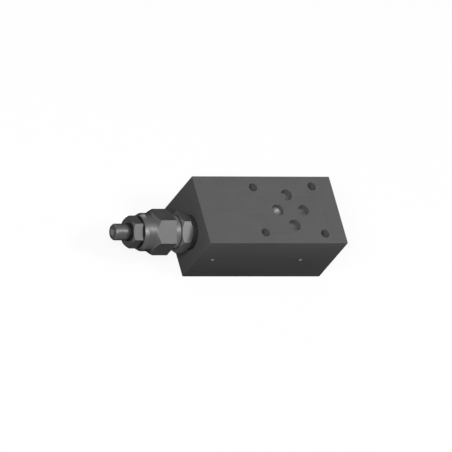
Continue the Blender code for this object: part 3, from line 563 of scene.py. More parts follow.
for subpart in frame["record"]["subparts"]:
    dress(bpy.data.objects[subpart["node"]], SLOT_FINISHES[subpart["material_slot"]])

# %% [markdown]
# Each turned piece is one outline swept round the axis, as on a lathe. An outline lists points as
# (distance along X, radius). Blender's Screw modifier does the sweep, and the result is settled into a
# plain mesh at once, so that later steps can cut it.

# %% Turning and settling
ROUND_FACETS = 96
BORE_FACETS = 64
HEX_SIDES = 6
SHARP_ANGLE = math.radians(28.0)
MERGE_DISTANCE = 0.000001
OVERSHOOT = 0.002
EDGE_BREAK = 0.00012
LEG_SHARE = 0.45


def link(obj):
    bpy.context.scene.collection.objects.link(obj)
    return obj


def evaluated_mesh(obj):
    """A new mesh of the object as its modifiers or its curve settings make it."""
    bpy.context.view_layer.update()
    depsgraph = bpy.context.evaluated_depsgraph_get()
    return bpy.data.meshes.new_from_object(obj.evaluated_get(depsgraph))


def settle(obj):
    """Turns an object with modifiers into a plain mesh whose faces point outwards."""
    mesh = evaluated_mesh(obj)
    obj.modifiers.clear()
    obj.data = mesh
    shape = bmesh.new()
    shape.from_mesh(mesh)
    bmesh.ops.recalc_face_normals(shape, faces=shape.faces)
    shape.to_mesh(mesh)
    shape.free()
    mesh.shade_smooth()
    mesh.set_sharp_from_angle(angle=SHARP_ANGLE)
    return obj


def swept(name, points, axis, facets, ring=False):
    """A line of points swept round an axis. A ring's line closes on itself."""
    mesh = bpy.data.meshes.new(name)
    edges = [(i, i + 1) for i in range(len(points) - 1)]
    if ring:
        edges.append((len(points) - 1, 0))
    mesh.from_pydata(points, edges, [])
    obj = link(bpy.data.objects.new(name, mesh))
    sweep = obj.modifiers.new("sweep", "SCREW")
    sweep.axis = axis
    sweep.steps = sweep.render_steps = facets
    sweep.use_merge_vertices = True
    sweep.merge_threshold = MERGE_DISTANCE
    return settle(obj)


def lathe(name, outline, facets=ROUND_FACETS, ring=False):
    """Sweeps (x, radius) points round the cartridge's axis."""
    obj = swept(name, [(x, 0.0, radius) for x, radius in outline], "X", facets, ring)
    obj.location = (0.0, AXIS_Y, AXIS_Z)
    return obj


def rounded(outline, width, steps=3):
    """The outline with each corner off the axis rounded over the given width."""
    smooth = []
    count = len(outline)
    for i, point in enumerate(outline):
        here = Vector(point)
        if i in (0, count - 1):
            smooth.append(tuple(here))
            continue
        before = Vector(outline[i - 1]) - here
        after = Vector(outline[i + 1]) - here
        reach = min(width, before.length * LEG_SHARE, after.length * LEG_SHARE)
        start = here + before.normalized() * reach
        end = here + after.normalized() * reach
        for step in range(steps + 1):
            share = step / steps
            leg_in = start.lerp(here, share)
            leg_out = here.lerp(end, share)
            smooth.append(tuple(leg_in.lerp(leg_out, share)))
    return smooth


# %% [markdown]
# Holes are cutters that a Boolean takes away from the piece. A drill here is a cylinder between two
# points, and where its mouth is open to view it gets a small cone, because a real hole is deburred.

# %% Drilling and milling
DEBURR = 0.00018


def drill(name, radius, start, end, facets=BORE_FACETS, deburr=0.0):
    """A cutter from start, which lies on a face, to end. It passes the face by the overshoot."""
    start = Vector(start)
    run = Vector(end) - start
    mouth = [(radius + deburr, 0.0), (radius, deburr)] if deburr else [(radius, 0.0)]
    outline = [(0.0, -OVERSHOOT), (radius + deburr, -OVERSHOOT), *mouth, (radius, run.length),
               (0.0, run.length)]
    obj = swept(name, [(r, 0.0, height) for r, height in outline], "Z", facets)
    obj.matrix_world = Matrix.Translation(start) @ run.to_track_quat("Z", "Y").to_matrix().to_4x4()
    return obj


def carve(target, cutters):
    """Takes all the cutters away from the target, and removes them."""
    for cutter in cutters:
        boolean = target.modifiers.new(cutter.name, "BOOLEAN")
        boolean.operation = "DIFFERENCE"
        boolean.solver = "EXACT"
        boolean.material_mode = "TRANSFER"
        boolean.object = cutter
    settle(target)
    for cutter in cutters:
        bpy.data.objects.remove(cutter, do_unlink=True)
    return target


def mill_hex(target, across_flats, start, end):
    """Mills six flats between two places along X. Corners point up and down, as in the photo."""
    corner = across_flats / math.sqrt(3)
    outer = (corner + OVERSHOOT) / math.cos(math.pi / HEX_SIDES)
    ring = [(end, outer), (start, outer), (start, corner), (end, corner)]
    return carve(target, [lathe(target.name + "_mill", ring, HEX_SIDES, ring=True)])


def finished(piece, body, slot, *nodes, finish=None):
    """Puts a piece in the frame: its finish, the body it rides on, and the nodes it stands for."""
    if finish is not None:
        dress(piece, finish)
    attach(piece, body)
    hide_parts(*nodes)
    print(f"{piece.name}: {len(piece.data.polygons)} faces on {body}")
    return piece


# %% [markdown]
# The block is a sawn and milled bar with lightly broken edges. Everything else about it is holes: four
# for the tie bolts, four ports, the stepped cavity of the cartridge, and the drillings that join them.
# It is easiest to make it as a workshop does, from a plain block and a list of cutters.

# %% The block's blank
BLOCK_EDGE_BREAK = 0.0003


def block_blank():
    mesh = bpy.data.meshes.new("drilled_block")
    shape = bmesh.new()
    bmesh.ops.create_cube(shape, size=1.0)
    bmesh.ops.scale(shape, vec=BLOCK_HIGH - BLOCK_LOW, verts=shape.verts)
    bmesh.ops.translate(shape, vec=(BLOCK_HIGH + BLOCK_LOW) / 2, verts=shape.verts)
    bmesh.ops.bevel(shape, geom=shape.edges[:], offset=BLOCK_EDGE_BREAK, segments=2, profile=0.5,
                    affect="EDGES")
    shape.to_mesh(mesh)
    shape.free()
    mesh.materials.append(BLOCK_FINISH)
    return link(bpy.data.objects.new("drilled_block", mesh))


# %% [markdown]
# The pattern on top is the standard one for size 6: four bolt holes on a slightly uneven rectangle, and
# the ports P, A, B and T in the middle. P, T and B pass through with a narrower neck, set to one side,
# so from above each looks like a blind hole.

# %% Bolt holes and ports
BOLT_HOLE_RADIUS = 0.00275
BOLT_LEFT_X = -0.0215
BOLT_LEFT_HALF_SPACING = 0.0155
BOLT_RIGHT_X = 0.0190
BOLT_RIGHT_HALF_SPACING = 0.01625
PORT_RADIUS = 0.00375
PORT_B_RADIUS = 0.0035
PORT_P = (0.0, 0.0104)
PORT_T = (0.0, -0.0104)
PORT_A = (-0.0088, 0.0)
PORT_B = (0.0087, 0.0)
PORT_MOUTH_DEPTH = 0.0045
PORT_NECK_RADIUS = 0.0019
PORT_NECK_LENGTH = 0.0055
PORT_NECK_LEDGE = 0.00015
PORT_NECK_BEARING = math.radians(221.7)
SEAL_RECESS_RADIUS = 0.0062
SEAL_RECESS_DEPTH = 0.0014


def bolt_hole_drills():
    corners = [(x, side * spacing)
               for x, spacing in ((BOLT_LEFT_X, BOLT_LEFT_HALF_SPACING),
                                  (BOLT_RIGHT_X, BOLT_RIGHT_HALF_SPACING))
               for side in (-1, 1)]
    middle = (BLOCK_LOW.z + BLOCK_HIGH.z) / 2
    drills = []
    for x, y in corners:
        for name, mouth, end in (("bolt_hole_above", BLOCK_HIGH.z, middle - OVERSHOOT),
                                 ("bolt_hole_below", BLOCK_LOW.z, middle)):
            drills.append(drill(name, BOLT_HOLE_RADIUS, (x, y, mouth), (x, y, end), deburr=DEBURR))
    return drills


def through_port_drills(place, radius):
    x, y = place
    mouth_floor = BLOCK_HIGH.z - PORT_MOUTH_DEPTH
    bore_top = mouth_floor - PORT_NECK_LENGTH
    offset = radius - PORT_NECK_RADIUS - PORT_NECK_LEDGE
    neck_x = x + offset * math.cos(PORT_NECK_BEARING)
    neck_y = y + offset * math.sin(PORT_NECK_BEARING)
    return [drill("port_mouth", radius, (x, y, BLOCK_HIGH.z), (x, y, mouth_floor), deburr=DEBURR),
            drill("port_bore", radius, (x, y, BLOCK_LOW.z), (x, y, bore_top)),
            drill("port_neck", PORT_NECK_RADIUS, (neck_x, neck_y, mouth_floor),
                  (neck_x, neck_y, bore_top - OVERSHOOT / 2))]


def seal_recess_drills():
    return [drill("seal_recess", SEAL_RECESS_RADIUS, (x, y, BLOCK_LOW.z),
                  (x, y, BLOCK_LOW.z + SEAL_RECESS_DEPTH), deburr=DEBURR / 2)
            for x, y in (PORT_P, PORT_T, PORT_A, PORT_B)]


# %% [markdown]
# Port A is the one that the cartridge guards. From the floor of its mouth a slanted drilling runs down
# to the chamber in front of the cartridge's nose. Its far wall faces the camera and carries a painted
# highlight, a finish lighter than the block's, so it is the brightest spot of the top face. The cutter
# is cut off at the mouth's floor, so the mouth stays round.

# %% Port A and its slanted drillings
NOSE_BORE_RADIUS = 0.0060
NOSE_BORE_END = 0.04125
PORT_A_MOUTH_DEPTH = 0.0036
PORT_A_LOWER_DEPTH = 0.0055
DRILLING_A_RADIUS = 0.0035
DRILLING_A_SHIFT = (-0.00105, 0.00036)
DRILLING_A_START_DEPTH = 0.0030
DRILLING_A_SHORT_OF_AXIS = 0.0076
DRILLING_A_LOWER_RADIUS = 0.0025
DRILLING_A_LOWER_LAP = 0.0015
DRILLING_A_LOWER_AIM = (0.0, 0.0020, -0.0030)
DRILLING_A_RISE = 0.0050
MOUTH_FLOOR_LAP = 0.00005
ABOVE_FLOOR_REACH = 0.0150


def axis_point(depth):
    """A point on the cartridge's axis, at a depth into the block from its left face."""
    return Vector((FACE_X + depth, AXIS_Y, AXIS_Z))


def port_a_drills():
    x, y = PORT_A
    chamber = axis_point(NOSE_BORE_END - NOSE_BORE_RADIUS)
    mouth_floor = BLOCK_HIGH.z - PORT_A_MOUTH_DEPTH
    upper = Vector((x + DRILLING_A_SHIFT[0], y + DRILLING_A_SHIFT[1],
                    BLOCK_HIGH.z - DRILLING_A_START_DEPTH))
    slanted = (chamber - upper).normalized()
    upper_drill = drill("drilling_a_upper", DRILLING_A_RADIUS, upper - slanted * DRILLING_A_RISE,
                        chamber - slanted * DRILLING_A_SHORT_OF_AXIS)
    above_floor = drill("above_floor", ABOVE_FLOOR_REACH,
                        (x, y, mouth_floor + MOUTH_FLOOR_LAP + OVERSHOOT),
                        (x, y, mouth_floor + ABOVE_FLOOR_REACH))
    lower = Vector((x, y, PORT_A_LOWER_DEPTH - DRILLING_A_LOWER_LAP))
    return [drill("port_a_mouth", PORT_RADIUS, (x, y, BLOCK_HIGH.z), (x, y, mouth_floor),
                  deburr=DEBURR),
            drill("port_a_bore", PORT_RADIUS, (x, y, BLOCK_LOW.z), (x, y, PORT_A_LOWER_DEPTH)),
            carve(upper_drill, [above_floor]),
            drill("drilling_a_lower", DRILLING_A_LOWER_RADIUS, lower,
                  chamber + Vector(DRILLING_A_LOWER_AIM))]


# %% [markdown]
# The cavity is one stepped bore: a flared mouth for the cartridge's collar, the thread, a groove that
# the return oil runs round in, and the narrower bore for the nose, which ends in the drill's point. A
# cross drilling leads from the groove to the right end, where a plug closes it.

# %% The cavity and the cross drilling
CAVITY_THREAD_RADIUS = 0.0083
CAVITY_MOUTH_FLARE = 0.0012
CAVITY_MOUTH_DEPTH = 0.0023
RETURN_GROOVE_START = 0.01525
RETURN_GROOVE_LENGTH = 0.0080
RETURN_GROOVE_RADIUS = 0.0093
NOSE_LEAD_IN = 0.0006
DRILL_POINT_ANGLE = math.radians(59.0)
GALLERY_Y = -0.0080
GALLERY_Z = 0.0120
GALLERY_RADIUS = 0.0025
PLUG_SEAT_RADIUS = 0.0035
PLUG_SEAT_DEPTH = 0.0069


def cavity_cutter():
    point = NOSE_BORE_RADIUS / math.tan(DRILL_POINT_ANGLE)
    groove_end = RETURN_GROOVE_START + RETURN_GROOVE_LENGTH
    flare_rise = CAVITY_MOUTH_FLARE * OVERSHOOT / CAVITY_MOUTH_DEPTH
    steps = [
        (NOSE_BORE_END + point, 0.0),
        (NOSE_BORE_END, NOSE_BORE_RADIUS),
        (groove_end + NOSE_LEAD_IN, NOSE_BORE_RADIUS),
        (groove_end, NOSE_BORE_RADIUS + NOSE_LEAD_IN),
        (groove_end, RETURN_GROOVE_RADIUS),
        (RETURN_GROOVE_START, RETURN_GROOVE_RADIUS),
        (RETURN_GROOVE_START, CAVITY_THREAD_RADIUS),
        (CAVITY_MOUTH_DEPTH, CAVITY_THREAD_RADIUS),
        (-OVERSHOOT, CAVITY_THREAD_RADIUS + CAVITY_MOUTH_FLARE + flare_rise),
        (-OVERSHOOT, 0.0),
    ]
    return lathe("cavity", [(FACE_X + depth, radius) for depth, radius in steps])


def gallery_drills():
    right = BLOCK_HIGH.x
    groove_middle = FACE_X + RETURN_GROOVE_START + RETURN_GROOVE_LENGTH / 2
    return [drill("gallery", GALLERY_RADIUS, (right, GALLERY_Y, GALLERY_Z),
                  (groove_middle, GALLERY_Y, GALLERY_Z)),
            drill("plug_seat", PLUG_SEAT_RADIUS, (right, GALLERY_Y, GALLERY_Z),
                  (right - PLUG_SEAT_DEPTH, GALLERY_Y, GALLERY_Z), deburr=DEBURR)]


# %% [markdown]
# Two small holes in the front face take the label pins. Then all the cutters go into one stack of
# Booleans, and the block is cut once. A cutter hands its own finish to the wall that it leaves, so the
# slanted drillings get the painted highlight and all other holes the lighter blackened finish, which
# paints light into their shade.

# %% Drill the block
PIN_LEFT_X = -0.0505
PIN_RIGHT_X = 0.00975
PIN_Z = 0.0200
PIN_SHANK_RADIUS = 0.00065
PIN_SHANK_LENGTH = 0.0035
PIN_HOLE_RADIUS = 0.00095
PIN_HOLE_FACETS = 24


def pin_hole_drills():
    return [drill("pin_hole", PIN_HOLE_RADIUS, (x, BLOCK_LOW.y, PIN_Z),
                  (x, BLOCK_LOW.y + PIN_SHANK_LENGTH + DEBURR, PIN_Z), PIN_HOLE_FACETS)
            for x in (PIN_LEFT_X, PIN_RIGHT_X)]


block = block_blank()
cutters = bolt_hole_drills() + seal_recess_drills() + port_a_drills() + gallery_drills()
cutters += through_port_drills(PORT_P, PORT_RADIUS) + through_port_drills(PORT_T, PORT_RADIUS)
cutters += through_port_drills(PORT_B, PORT_B_RADIUS) + pin_hole_drills() + [cavity_cutter()]
for cutter in cutters:
    slanted = cutter.name.startswith("drilling_a")
    cutter.data.materials.clear()
    cutter.data.materials.append(PAINTED_HIGHLIGHT_FINISH if slanted else PAINTED_LIGHT_BORE_FINISH)
print(f"Drilling the block with {len(cutters)} cutters")
carve(block, cutters)
finished(block, "block", "block_steel", "valve_body")

# %% [markdown]
# The cartridge body is one turned piece. Outside the block it has a collar that seals against the face,
# a hexagon for the spanner, a neck, and the spigot that the adjuster cap screws over. Inside are the
# thread, the waist with four return holes, and the nose with its seal groove.

# %% Sizes of the cartridge body
SEAT_GAP = 0.0003
COLLAR_RADIUS = 0.0105
COLLAR_LENGTH = 0.0036
KEY_FLATS = 0.0220
KEY_LENGTH = 0.00745
NECK_RADIUS = 0.0102
NECK_LENGTH = 0.00445
SPIGOT_RADIUS = 0.0087
SPIGOT_EDGE = 0.0005
CAP_GROOVE_RADIUS = 0.0074
CAP_GROOVE_OFFSET = 0.0012
CAP_GROOVE_WIDTH = 0.0023
UNDERCUT_RADIUS = 0.0069
UNDERCUT_LENGTH = 0.0025
THREAD_RADIUS = 0.0080
THREAD_END = 0.0145
NOSE_RADIUS = 0.0057
NOSE_EDGE = 0.0004
NOSE_GROOVE_RADIUS = 0.0044
NOSE_GROOVE_START = 0.0248
NOSE_GROOVE_WIDTH = 0.0042
SPRING_BORE_RADIUS = 0.0058
SPRING_BORE_END = 0.0075
STEM_BORE_RADIUS = 0.0016
CHAMBER_START = 0.0130
CHAMBER_RADIUS = 0.0034
SEAT_BORE_RADIUS = 0.0041
SEAT_BORE_START = 0.0293
RETURN_HOLE_RADIUS = 0.0016
VENT_RADIUS = 0.0005
VENT_OFFSET = 0.0026
RETURN_HOLE_FACETS = 32
VENT_FACETS = 16

KEY_END = COLLAR_LENGTH + KEY_LENGTH
NECK_END = KEY_END + NECK_LENGTH
SPIGOT_END = FACE_X - CARTRIDGE_LOW.x
NOSE_END = CARTRIDGE_HIGH.x - FACE_X


def outside(steps):
    """Outline points from (distance out of the left face, radius) to (x, radius)."""
    return [(FACE_X - distance, radius) for distance, radius in steps]


# %% [markdown]
# The outline starts at the seat's bore, runs round the nose and out over thread, collar, hexagon and
# spigot, and comes back inside. It is turned whole. The hexagon, the four return holes and the two
# vents beside the stem are cut afterwards.

# %% Turn and mill the cartridge body
def cartridge_outline():
    key_corner = KEY_FLATS / math.sqrt(3) + DEBURR
    key_edge = key_corner - KEY_FLATS / 2
    waist_start = THREAD_END + THREAD_RADIUS - NOSE_RADIUS
    groove_end = NOSE_GROOVE_START + NOSE_GROOVE_WIDTH
    cap_groove_start = SPIGOT_END - CAP_GROOVE_OFFSET
    return outside([
        (-NOSE_END, SEAT_BORE_RADIUS),
        (-NOSE_END, NOSE_RADIUS - NOSE_EDGE),
        (-NOSE_END + NOSE_EDGE, NOSE_RADIUS),
        (-groove_end, NOSE_RADIUS),
        (-groove_end, NOSE_GROOVE_RADIUS),
        (-NOSE_GROOVE_START, NOSE_GROOVE_RADIUS),
        (-NOSE_GROOVE_START, NOSE_RADIUS),
        (-waist_start, NOSE_RADIUS),
        (-THREAD_END, THREAD_RADIUS),
        (-UNDERCUT_LENGTH - THREAD_RADIUS + UNDERCUT_RADIUS, THREAD_RADIUS),
        (-UNDERCUT_LENGTH, UNDERCUT_RADIUS),
        (SEAT_GAP, UNDERCUT_RADIUS),
        (SEAT_GAP, COLLAR_RADIUS),
        (COLLAR_LENGTH, COLLAR_RADIUS),
        (COLLAR_LENGTH, KEY_FLATS / 2),
        (COLLAR_LENGTH + key_edge, key_corner),
        (KEY_END - key_edge, key_corner),
        (KEY_END, KEY_FLATS / 2),
        (KEY_END, NECK_RADIUS),
        (NECK_END - SEAT_GAP, NECK_RADIUS),
        (NECK_END - SEAT_GAP, SPIGOT_RADIUS),
        (cap_groove_start - CAP_GROOVE_WIDTH, SPIGOT_RADIUS),
        (cap_groove_start - CAP_GROOVE_WIDTH, CAP_GROOVE_RADIUS),
        (cap_groove_start, CAP_GROOVE_RADIUS),
        (cap_groove_start, SPIGOT_RADIUS),
        (SPIGOT_END - SPIGOT_EDGE, SPIGOT_RADIUS),
        (SPIGOT_END, SPIGOT_RADIUS - SPIGOT_EDGE),
        (SPIGOT_END, SPRING_BORE_RADIUS),
        (-SPRING_BORE_END, SPRING_BORE_RADIUS),
        (-SPRING_BORE_END, STEM_BORE_RADIUS),
        (-CHAMBER_START, STEM_BORE_RADIUS),
        (-CHAMBER_START, CHAMBER_RADIUS),
        (-SEAT_BORE_START, CHAMBER_RADIUS),
        (-SEAT_BORE_START, SEAT_BORE_RADIUS),
    ])


def make_cartridge():
    piece = lathe("cartridge", rounded(cartridge_outline(), EDGE_BREAK), ring=True)
    mill_hex(piece, KEY_FLATS, FACE_X - KEY_END - EDGE_BREAK, FACE_X - COLLAR_LENGTH + EDGE_BREAK)
    waist = THREAD_END + THREAD_RADIUS - NOSE_RADIUS
    centre = axis_point((waist + NOSE_GROOVE_START) / 2)
    holes = []
    for direction in (Vector((0, 1, 0)), Vector((0, -1, 0)), Vector((0, 0, 1)), Vector((0, 0, -1))):
        holes.append(drill("return_hole", RETURN_HOLE_RADIUS, centre + direction * NOSE_RADIUS,
                           centre, RETURN_HOLE_FACETS))
    for offset in (-VENT_OFFSET, VENT_OFFSET):
        aside = Vector((0.0, offset, 0.0))
        holes.append(drill("vent", VENT_RADIUS, axis_point(SPRING_BORE_END) + aside,
                           axis_point(CHAMBER_START + OVERSHOOT) + aside, VENT_FACETS))
    return carve(piece, holes)


cartridge = make_cartridge()
# The body gets the lighter copy of the turned finish: painted light against the block's shade.
finished(cartridge, "block", "cartridge_steel", "cartridge_body", finish=LIGHTENED_TURNED_FINISH)

# %% [markdown]
# The adjuster cap is screwed over the spigot. Its hexagon is square to the neck on one side and
# chamfered down to the barrel on the other, and the barrel ends in a cone under the lock nut. Turning
# the whole outline first and milling the flats after gives the curved edges where they meet.

# %% The adjuster cap
CAP_FLATS = 0.0240
CAP_HEX_LENGTH = 0.0130
CAP_HEX_CHAMFER_SLOPE = 1.18
CAP_BARREL_RADIUS = 0.01145
CAP_BARREL_LENGTH = 0.00495
CAP_TIP_RADIUS = 0.0103
CAP_BORE_RADIUS = 0.0090
CAP_BORE_END = 0.0273
CAP_RELIEF_RADIUS = 0.0070
CAP_RELIEF_LENGTH = 0.0020
THREAD_HOLE_RADIUS = 0.00505

CAP_START = FACE_X - CAP_HIGH.x
CAP_HEX_END = CAP_START + CAP_HEX_LENGTH
CAP_BARREL_END = CAP_HEX_END + CAP_BARREL_LENGTH
CAP_END = FACE_X - CAP_LOW.x


def make_cap():
    corner = CAP_FLATS / math.sqrt(3) + DEBURR
    chamfer = (corner - CAP_BARREL_RADIUS) * CAP_HEX_CHAMFER_SLOPE
    relief_end = CAP_BORE_END + CAP_RELIEF_LENGTH
    outline = outside([
        (CAP_START, CAP_BORE_RADIUS),
        (CAP_START, corner),
        (CAP_HEX_END - chamfer, corner),
        (CAP_HEX_END, CAP_BARREL_RADIUS),
        (CAP_BARREL_END, CAP_BARREL_RADIUS),
        (CAP_END, CAP_TIP_RADIUS),
        (CAP_END, THREAD_HOLE_RADIUS),
        (relief_end, THREAD_HOLE_RADIUS),
        (relief_end, CAP_RELIEF_RADIUS),
        (CAP_BORE_END, CAP_RELIEF_RADIUS),
        (CAP_BORE_END, CAP_BORE_RADIUS),
    ])
    piece = lathe("cap", rounded(outline, EDGE_BREAK), ring=True)
    return mill_hex(piece, CAP_FLATS, FACE_X - CAP_HEX_END - EDGE_BREAK, CAP_HIGH.x + OVERSHOOT)


cap = make_cap()
finished(cap, "block", "cartridge_steel", "adjuster_cap", finish=TURNED_FINISH)

# %% [markdown]
# The lock nut has a chamfer on its outer end only, and a shallow seat in its inner end for a plastic
# ring that seals the thread.

# %% The lock nut
NUT_FLATS = 0.0170
NUT_MOUTH_CHAMFER = 0.0003
NUT_SEAL_SEAT_RADIUS = 0.0064
NUT_SEAL_SEAT_DEPTH = 0.0015

NUT_START = FACE_X - NUT_HIGH.x
NUT_END = FACE_X - NUT_LOW.x


def make_nut():
    corner = NUT_FLATS / math.sqrt(3) + DEBURR
    chamfer = corner - NUT_FLATS / 2
    outline = outside([
        (NUT_START, NUT_SEAL_SEAT_RADIUS),
        (NUT_START, corner),
        (NUT_END - chamfer, corner),
        (NUT_END, NUT_FLATS / 2),
        (NUT_END, THREAD_HOLE_RADIUS + NUT_MOUTH_CHAMFER),
        (NUT_END - NUT_MOUTH_CHAMFER, THREAD_HOLE_RADIUS),
        (NUT_START + NUT_SEAL_SEAT_DEPTH, THREAD_HOLE_RADIUS),
        (NUT_START + NUT_SEAL_SEAT_DEPTH, NUT_SEAL_SEAT_RADIUS),
    ])
    piece = lathe("nut", rounded(outline, EDGE_BREAK), ring=True)
    return mill_hex(piece, NUT_FLATS, NUT_LOW.x - OVERSHOOT, NUT_HIGH.x + OVERSHOOT)


nut = make_nut()
finished(nut, "nut", "cartridge_steel", "lock_nut", finish=TURNED_FINISH)

# %% [markdown]
# The adjusting screw shows as a plain round end with a chamfer and a hexagon socket for the key. The
# socket is cut by a cutter with six facets that ends in a shallow cone, as a broached socket does.

# %% The adjusting screw
SCREW_RADIUS = 0.0050
SCREW_END_CHAMFER = 0.0011
SCREW_END_RADIUS = 0.0042
SCREW_POINT_RADIUS = 0.0032
SCREW_POINT_LENGTH = 0.0022
SOCKET_FLATS = 0.0050
SOCKET_DEPTH = 0.0055

SCREW_START = FACE_X - SCREW_HIGH.x
SCREW_END = FACE_X - SCREW_LOW.x


def make_screw():
    thread_start = SCREW_START + SCREW_POINT_LENGTH
    outline = outside([
        (SCREW_START, 0.0),
        (SCREW_START, SCREW_POINT_RADIUS),
        (thread_start, SCREW_POINT_RADIUS),
        (thread_start + SCREW_RADIUS - SCREW_POINT_RADIUS, SCREW_RADIUS),
        (SCREW_END - SCREW_END_CHAMFER, SCREW_RADIUS),
        (SCREW_END, SCREW_END_RADIUS),
        (SCREW_END, 0.0),
    ])
    piece = lathe("screw", rounded(outline, EDGE_BREAK))
    corner = SOCKET_FLATS / math.sqrt(3)
    floor = SCREW_END - SOCKET_DEPTH
    socket = outside([(floor - corner / 2, 0.0), (floor, corner), (SCREW_END + OVERSHOOT, corner),
                      (SCREW_END + OVERSHOOT, 0.0)])
    dress(piece, TURNED_FINISH)
    cutter = lathe("socket", socket, HEX_SIDES)
    # The socket's walls get the lighter finish, which paints light into the recess.
    dress(cutter, PAINTED_LIGHT_SOCKET_FINISH)
    return carve(piece, [cutter])


screw = make_screw()
finished(screw, "screw", "cartridge_steel", "adjusting_screw")

# %% [markdown]
# Two small domed pins sit on the front face. Each is a turned dome whose rim touches the face, on a
# shank that goes into the block.

# %% The label pins
PIN_HEAD_RADIUS = 0.00115
PIN_HEAD_HEIGHT = 0.0006
DOME_STEPS = 10
PIN_FACETS = 32


def make_pin(name, x):
    dome = []
    for step in range(DOME_STEPS + 1):
        angle = math.pi / 2 * (1 - step / DOME_STEPS)
        dome.append((-PIN_HEAD_HEIGHT * math.sin(angle), PIN_HEAD_RADIUS * math.cos(angle)))
    dome[0] = (-PIN_HEAD_HEIGHT, 0.0)
    outline = dome + [(0.0, PIN_SHANK_RADIUS), (PIN_SHANK_LENGTH, PIN_SHANK_RADIUS),
                      (PIN_SHANK_LENGTH, 0.0)]
    pin = lathe(name, outline, PIN_FACETS)
    pin.rotation_euler = (0.0, 0.0, math.pi / 2)
    pin.location = (x, BLOCK_LOW.y, PIN_Z)
    return pin


for side, x in (("left", PIN_LEFT_X), ("right", PIN_RIGHT_X)):
    finished(make_pin(f"pin_{side}", x), "block", "hardened_steel", f"label_pin_{side}",
             finish=PIN_FINISH)

# %% [markdown]
# The cross drilling opens in the right end, so it is closed there by a press-in plug: a cup-shaped
# sleeve that a ball spreads against the hole. The sleeve is turned, and the ball is half a circle swept
# round its own axis, so that its poles lie on the plug's axis.

# %% The plug of the cross drilling
PLUG_WALL = 0.0009
PLUG_EDGE = 0.00025
BALL_STEPS = 24

PLUG_LOW, PLUG_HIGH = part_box("gallery_plug_sleeve")
BALL_LOW, BALL_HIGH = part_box("gallery_plug_ball")


def make_plug_sleeve():
    radius = (PLUG_HIGH.z - PLUG_LOW.z) / 2
    inner = radius - PLUG_WALL
    outline = [
        (PLUG_LOW.x, 0.0),
        (PLUG_LOW.x, radius - PLUG_EDGE),
        (PLUG_LOW.x + PLUG_EDGE, radius),
        (PLUG_HIGH.x, radius),
        (PLUG_HIGH.x, inner + PLUG_EDGE),
        (PLUG_HIGH.x - PLUG_EDGE, inner),
        (PLUG_LOW.x + PLUG_WALL, inner),
        (PLUG_LOW.x + PLUG_WALL, 0.0),
    ]
    piece = lathe("plug_sleeve", rounded(outline, EDGE_BREAK / 2), BORE_FACETS)
    piece.location = (0.0, GALLERY_Y, GALLERY_Z)
    return piece


def make_plug_ball():
    radius = (BALL_HIGH.x - BALL_LOW.x) / 2
    centre = (BALL_HIGH.x + BALL_LOW.x) / 2
    angles = [math.pi * step / BALL_STEPS for step in range(BALL_STEPS + 1)]
    outline = [(centre - radius * math.cos(angle), radius * math.sin(angle)) for angle in angles]
    outline[-1] = (centre + radius, 0.0)
    piece = lathe("plug_ball", outline, BORE_FACETS)
    piece.location = (0.0, GALLERY_Y, GALLERY_Z)
    return piece


finished(make_plug_sleeve(), "block", "hardened_steel", "gallery_plug_sleeve", finish=PIN_FINISH)
finished(make_plug_ball(), "block", "hardened_steel", "gallery_plug_ball", finish=PIN_FINISH)

# %% [markdown]
# The seal rings lie as they do when the valve is bolted down: a round cord that is squeezed a little,
# between a circle and a box. A superellipse gives that section. Each ring takes its place from its
# node's box, so one function makes all of them: four in the lower face and four on the cartridge.

# %% Seal rings
SEAL_FULLNESS = 2.6
SEAL_POINTS = 20
PORT_SEAL_WIDTH = 0.0017
FACE_SEAL_WIDTH = 0.0015
CARTRIDGE_SEAL_WIDTH = 0.0014


def seal_section(middle, half_height, radius, half_width):
    """A closed outline of (x, radius) points on a superellipse."""
    points = []
    for step in range(SEAL_POINTS):
        angle = 2 * math.pi * step / SEAL_POINTS
        across, up = math.cos(angle), math.sin(angle)
        across = math.copysign(abs(across) ** (2 / SEAL_FULLNESS), across)
        up = math.copysign(abs(up) ** (2 / SEAL_FULLNESS), up)
        points.append((middle + half_height * across, radius + half_width * up))
    return points


def make_seal(name, node, width, upright=False):
    """A ring round the X axis, or round Z where it lies upright in the lower face."""
    low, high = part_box(node)
    size, middle = high - low, (high + low) / 2
    if upright:
        section = seal_section(0.0, size.z / 2, (size.x - width) / 2, width / 2)
    else:
        section = seal_section(0.0, size.x / 2, (size.z - width) / 2, width / 2)
    ring = lathe(name, section, BORE_FACETS, ring=True)
    ring.location = middle
    if upright:
        ring.rotation_euler = (0.0, -math.pi / 2, 0.0)
    return ring


for port in "ptab":
    ring = make_seal(f"port_ring_{port}", f"port_seal_{port}", PORT_SEAL_WIDTH, upright=True)
    finished(ring, "block", "seal_rubber", f"port_seal_{port}", finish=RUBBER_FINISH)
for name, node, width, body in (("collar_ring", "cartridge_seal", FACE_SEAL_WIDTH, "block"),
                                ("nose_ring", "nose_seal", CARTRIDGE_SEAL_WIDTH, "block"),
                                ("cap_ring", "cap_seal", CARTRIDGE_SEAL_WIDTH, "block"),
                                ("plunger_ring", "plunger_seal", CARTRIDGE_SEAL_WIDTH, "plunger")):
    finished(make_seal(name, node, width), body, "seal_rubber", node, finish=RUBBER_FINISH)

# %% [markdown]
# The main spring is one wire on a helix whose first and last turns are closed. Both its ends move: the
# plunger pushes one end in as the screw is turned, and the poppet's plate pushes the other as it lifts.
# The wire is made in two stretches, which meet at a turn that stays still. A piece can bend across one
# joint only, so the wire is made in two stretches.

